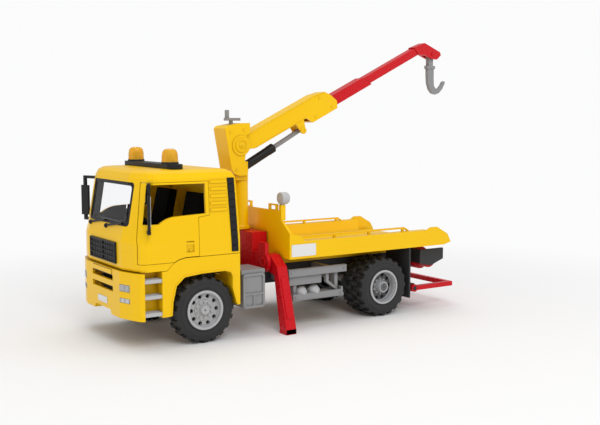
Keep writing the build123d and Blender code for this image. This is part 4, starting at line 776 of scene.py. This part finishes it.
# Crane base and outriggers: red mouldings across the frame behind the cab. Each leg swings on a screw
# in the base, and has a raised panel on its outside and a rim round its foot.
leg_x, leg_pivot_y, leg_pivot_z = -90.8, 51.0, 72.0
base_front_x = -80.0
panel_z, foot_z = 37.5, 3.0
red = plastic("red plastic", (0.60, 0.004, 0.010), (0.50, 0.002, 0.008), 0.28, 0.10)
dress(red, "crane_base", "outrigger_left", "outrigger_right")
leg_screw = ((-0.2, 5.6), (0.6, 5.5), (0.9, 5.0), (0.9, 3.4), (0.4, 3.2), (0.4, 0.0))
for side, hand in ((1, "left"), (-1, "right")):
    leg_down = unit((0.0, side * 18.0, -63.0))
    make_piece(f"leg_panel_{hand}", f"leg_{hand}_body", red, [
        plate(rounded(7.6, 44.0, 1.0), at(leg_x, side * (leg_pivot_y + 30.0), panel_z),
              (side, 0, 0), leg_down, 0.9, 0.3),
        plate(rounded(12.6, 5.0, 0.8), at(leg_x, side * (leg_pivot_y + 38.65), foot_z),
              (-side, 0, 0), (0, 0, 1), 0.35, 0.1),
    ])
    make_piece(f"leg_screw_{hand}", "chassis", red, [
        turned(leg_screw, at(base_front_x, side * leg_pivot_y, leg_pivot_z), (1, 0, 0), 28),
    ])

# Slew ring and column: the red ring turns on the base, and carries the yellow column with its round
# pillar and forked head. Bosses with a cross slot cover the boom's pivot; the crank is a loose pin.
pivot_x, pivot_z = -76.6, 194.8
pillar_x = -83.8
head_half = 13.0
dress(red, "slew_ring")
dress(yellow, "crane_column")
dress(box_grey, "crank")
boss = (
    (-0.4, 7.6), (0.8, 7.5), (1.2, 7.0), (1.2, 5.6), (0.6, 5.4), (0.6, 3.4), (1.0, 3.2), (1.6, 2.4),
    (1.7, 0.0),
)
head_screw = ((-0.2, 1.5), (0.5, 1.45), (0.7, 1.1), (0.45, 0.7), (0.45, 0.0))
parts = []
for side in (1, -1):
    out = (0, side, 0)
    parts.append(turned(boss, at(pivot_x, side * (head_half + 1.0), pivot_z), out, 40))
    for x, z in ((-63.5, 209.0), (-80.0, 211.5), (-70.5, 168.5)):
        parts.append(turned(head_screw, at(x, side * head_half, z), out, 16))
    for u in ((1, 0, 0), (0, 0, 1)):
        parts.append(plate(rounded(4.2, 0.9, 0.3, 3), at(pivot_x, side * 15.5, pivot_z),
                           u, np.cross(out, u), 0.5, 0.15))
make_piece("crane_bosses", "crane_body", yellow, parts)
pillar = ((106.0, 8.6), (106.8, 7.7), (108.0, 7.42), (157.0, 7.42))
make_piece("column_sleeve", "crane_body", yellow, [turned(pillar, at(pillar_x, 0, 0), (0, 0, 1))])

# Boom: a yellow outer channel on the column's pivot, with two red tubes that slide out of it. Ribs
# run along its sides, with screw heads at its mouth, caps on the cylinder's lugs and on the tip's pin.
boom_half = 9.0
boom_rise = radians(26.0)
eye_u, eye_w = 82.2, -22.6
tip_u, tip_w, tip_half = 300.2, -24.5, 6.0


def boom_place(u, w, y=0.0):
    """A place in metres from mm along the boom from its pivot, square to it, and to the left."""
    return at(pivot_x - u * cos(boom_rise) + w * sin(boom_rise), y,
              pivot_z + u * sin(boom_rise) + w * cos(boom_rise))


dress(yellow, "boom_outer")
dress(red, "boom_first", "boom_second")
upper_rib = ((16, 5.6), (114, 5.6), (127, 3.4))
lower_rib = ((18, -11.2), (91, -11.2))
mouth_screws = ((104.0, -16.0), (130.0, -16.0), (118.0, 1.0))
boom_screw = ((-0.2, 1.4), (0.45, 1.35), (0.65, 1.0), (0.65, 0.0))
lug_cap = ((-0.2, 3.9), (0.8, 3.8), (1.2, 3.2), (1.2, 1.8), (0.7, 1.6), (0.7, 0.0))
tip_cap = ((-0.2, 2.6), (0.6, 2.5), (0.9, 2.0), (0.9, 0.0))
trim, tip_caps = [], []
for side in (1, -1):
    out, y = (0, side, 0), side * boom_half
    trim += [bead([boom_place(u, w, y) for u, w in rib], out, 1.0, 0.45) for rib in (upper_rib, lower_rib)]
    trim += [turned(boom_screw, boom_place(u, w, y), out, 16) for u, w in mouth_screws]
    trim.append(turned(lug_cap, boom_place(eye_u, eye_w, y), out, 28))
    tip_caps.append(turned(tip_cap, boom_place(tip_u, tip_w, side * tip_half), out, 24))
make_piece("boom_trim", "boom_body", yellow, trim)
make_piece("tip_pins", "second_body", red, tip_caps)

# Hook: one grey moulding with a round shank and a collar, which swings on the pin through the inner
# tube's tip.
dress(box_grey, "hook")

# Cylinder: a smooth black barrel with an end collar, on a pin between the column's cheeks, and a
# round grey rod whose eye sits between the boom's lugs.
dress(black, "cylinder_barrel")
dress(box_grey, "cylinder_rod")
foot_u, foot_w = -8.9, -26.5
barrel_foot = boom_place(foot_u, foot_w)
ram = unit(boom_place(eye_u, eye_w) - barrel_foot)
barrel = (
    (13.6, 4.2), (14.0, 4.95), (44.0, 4.98), (44.4, 5.28), (51.0, 5.28), (51.4, 4.9), (51.45, 3.0),
)
make_piece("barrel_sleeve", "barrel_body", black, [turned(barrel, barrel_foot, ram, 40)])
make_piece("rod_sleeve", "rod_body", box_grey, [turned(((26.0, 2.66), (87.4, 2.66)), barrel_foot, ram, 32)])

# Deck: a yellow moulding with side boards and headboard, screwed on the frame. Each board carries a
# blank white label and a row of small screws on its top edge.
board_y, board_top_z = 69.0, 94.4
label_x, label_z = -116.5, 85.0
dress(yellow, "deck")
board_screw = ((-0.2, 1.0), (0.35, 0.95), (0.5, 0.0))
for side, hand in ((1, "left"), (-1, "right")):
    make_piece(f"blank_label_{hand}", "chassis", blank_white, [
        plate(rounded(31.0, 13.0, 1.0), at(label_x, side * body_half, label_z),
              (-side, 0, 0), (0, 0, 1), 0.2, 0.05),
    ])
    make_piece(f"board_screws_{hand}", "chassis", yellow, [
        turned(board_screw, at(x, side * board_y, board_top_z), (0, 0, 1), 14)
        for x in (-126.0, -170.0, -214.0, -258.0)
    ])

# Work lamps: light grey round shells on the headboard's posts, each with a rim and a domed silvered
# lens that looks back over the deck.
lamp_low, lamp_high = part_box("work_lamps")
work_lamp_y, work_lamp_r = 56.25, 6.4
dress(light_grey, "work_lamps")
rear_shell = ((-2.2, 6.5), (-1.6, 6.6), (-0.2, 5.6), (0.3, 5.5), (0.5, 5.1), (0.2, 4.8))
front_shell = ((-6.8, 6.5), (-0.6, 6.5), (0.1, 6.0), (0.3, 5.0), (0.0, 4.6), (0.35, 2.0), (0.4, 0.0))
lens = ((0.1, 5.0), (0.4, 4.2), (0.7, 2.8), (0.85, 1.2), (0.9, 0.0))
shells, lenses = [], []
for y in (work_lamp_y, -work_lamp_y):
    rear = np.array((lamp_low.x, y * MM, lamp_high.z - work_lamp_r * MM))
    front = np.array((lamp_high.x, y * MM, lamp_high.z - work_lamp_r * MM))
    shells += [turned(rear_shell, rear, (-1, 0, 0), 40), turned(front_shell, front, (1, 0, 0), 40)]
    lenses.append(turned(lens, rear, (-1, 0, 0), 40))
make_piece("lamp_shells", "chassis", light_grey, shells)
make_piece("lamp_lenses", "chassis", chrome, lenses)

# Rear drum: a red roller between the tail plates, with stepped rings on both ends and a smooth sleeve
# round its middle.
dress(red, "rear_drum")
drum_low, drum_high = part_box("rear_drum")
drum_centre = np.array(((drum_low.x + drum_high.x) / 2, 0.0, (drum_low.z + drum_high.z) / 2))
end_ring = (
    (-1.0, 9.95), (-0.2, 9.9), (0.2, 9.3), (0.2, 7.4), (-0.05, 7.1), (-0.05, 3.6), (0.4, 3.2), (0.5, 0.0),
)
end_sleeve = ((-15.0, 10.0), (-0.8, 10.0))
middle_sleeve = ((-45.0, 10.0), (-45.2, 13.0), (-44.6, 13.35), (44.6, 13.35), (45.2, 13.0), (45.0, 10.0))
parts = [turned(middle_sleeve, drum_centre, (0, 1, 0), 56)]
for side in (1, -1):
    end = drum_centre + np.array((0, side * drum_high.y, 0))
    parts += [turned(end_ring, end, (0, side, 0)), turned(end_sleeve, end, (0, side, 0))]
make_piece("drum_rings", "chassis", red, parts)

# Tow fork: a red frame that tilts on a pin through the dark grey beam under the tail, with a cap on
# each end of the pin.
fork_pin_x, fork_pin_y, fork_pin_z = -283.0, 62.75, 25.0
dress(dark_grey, "fork_beam")
dress(red, "tow_fork")
pin_cap = ((-0.2, 2.6), (0.5, 2.5), (0.8, 1.9), (0.8, 0.0))
make_piece("fork_pin_caps", "chassis", dark_grey, [
    turned(pin_cap, at(fork_pin_x, side * fork_pin_y, fork_pin_z), (0, side, 0), 20) for side in (1, -1)
])
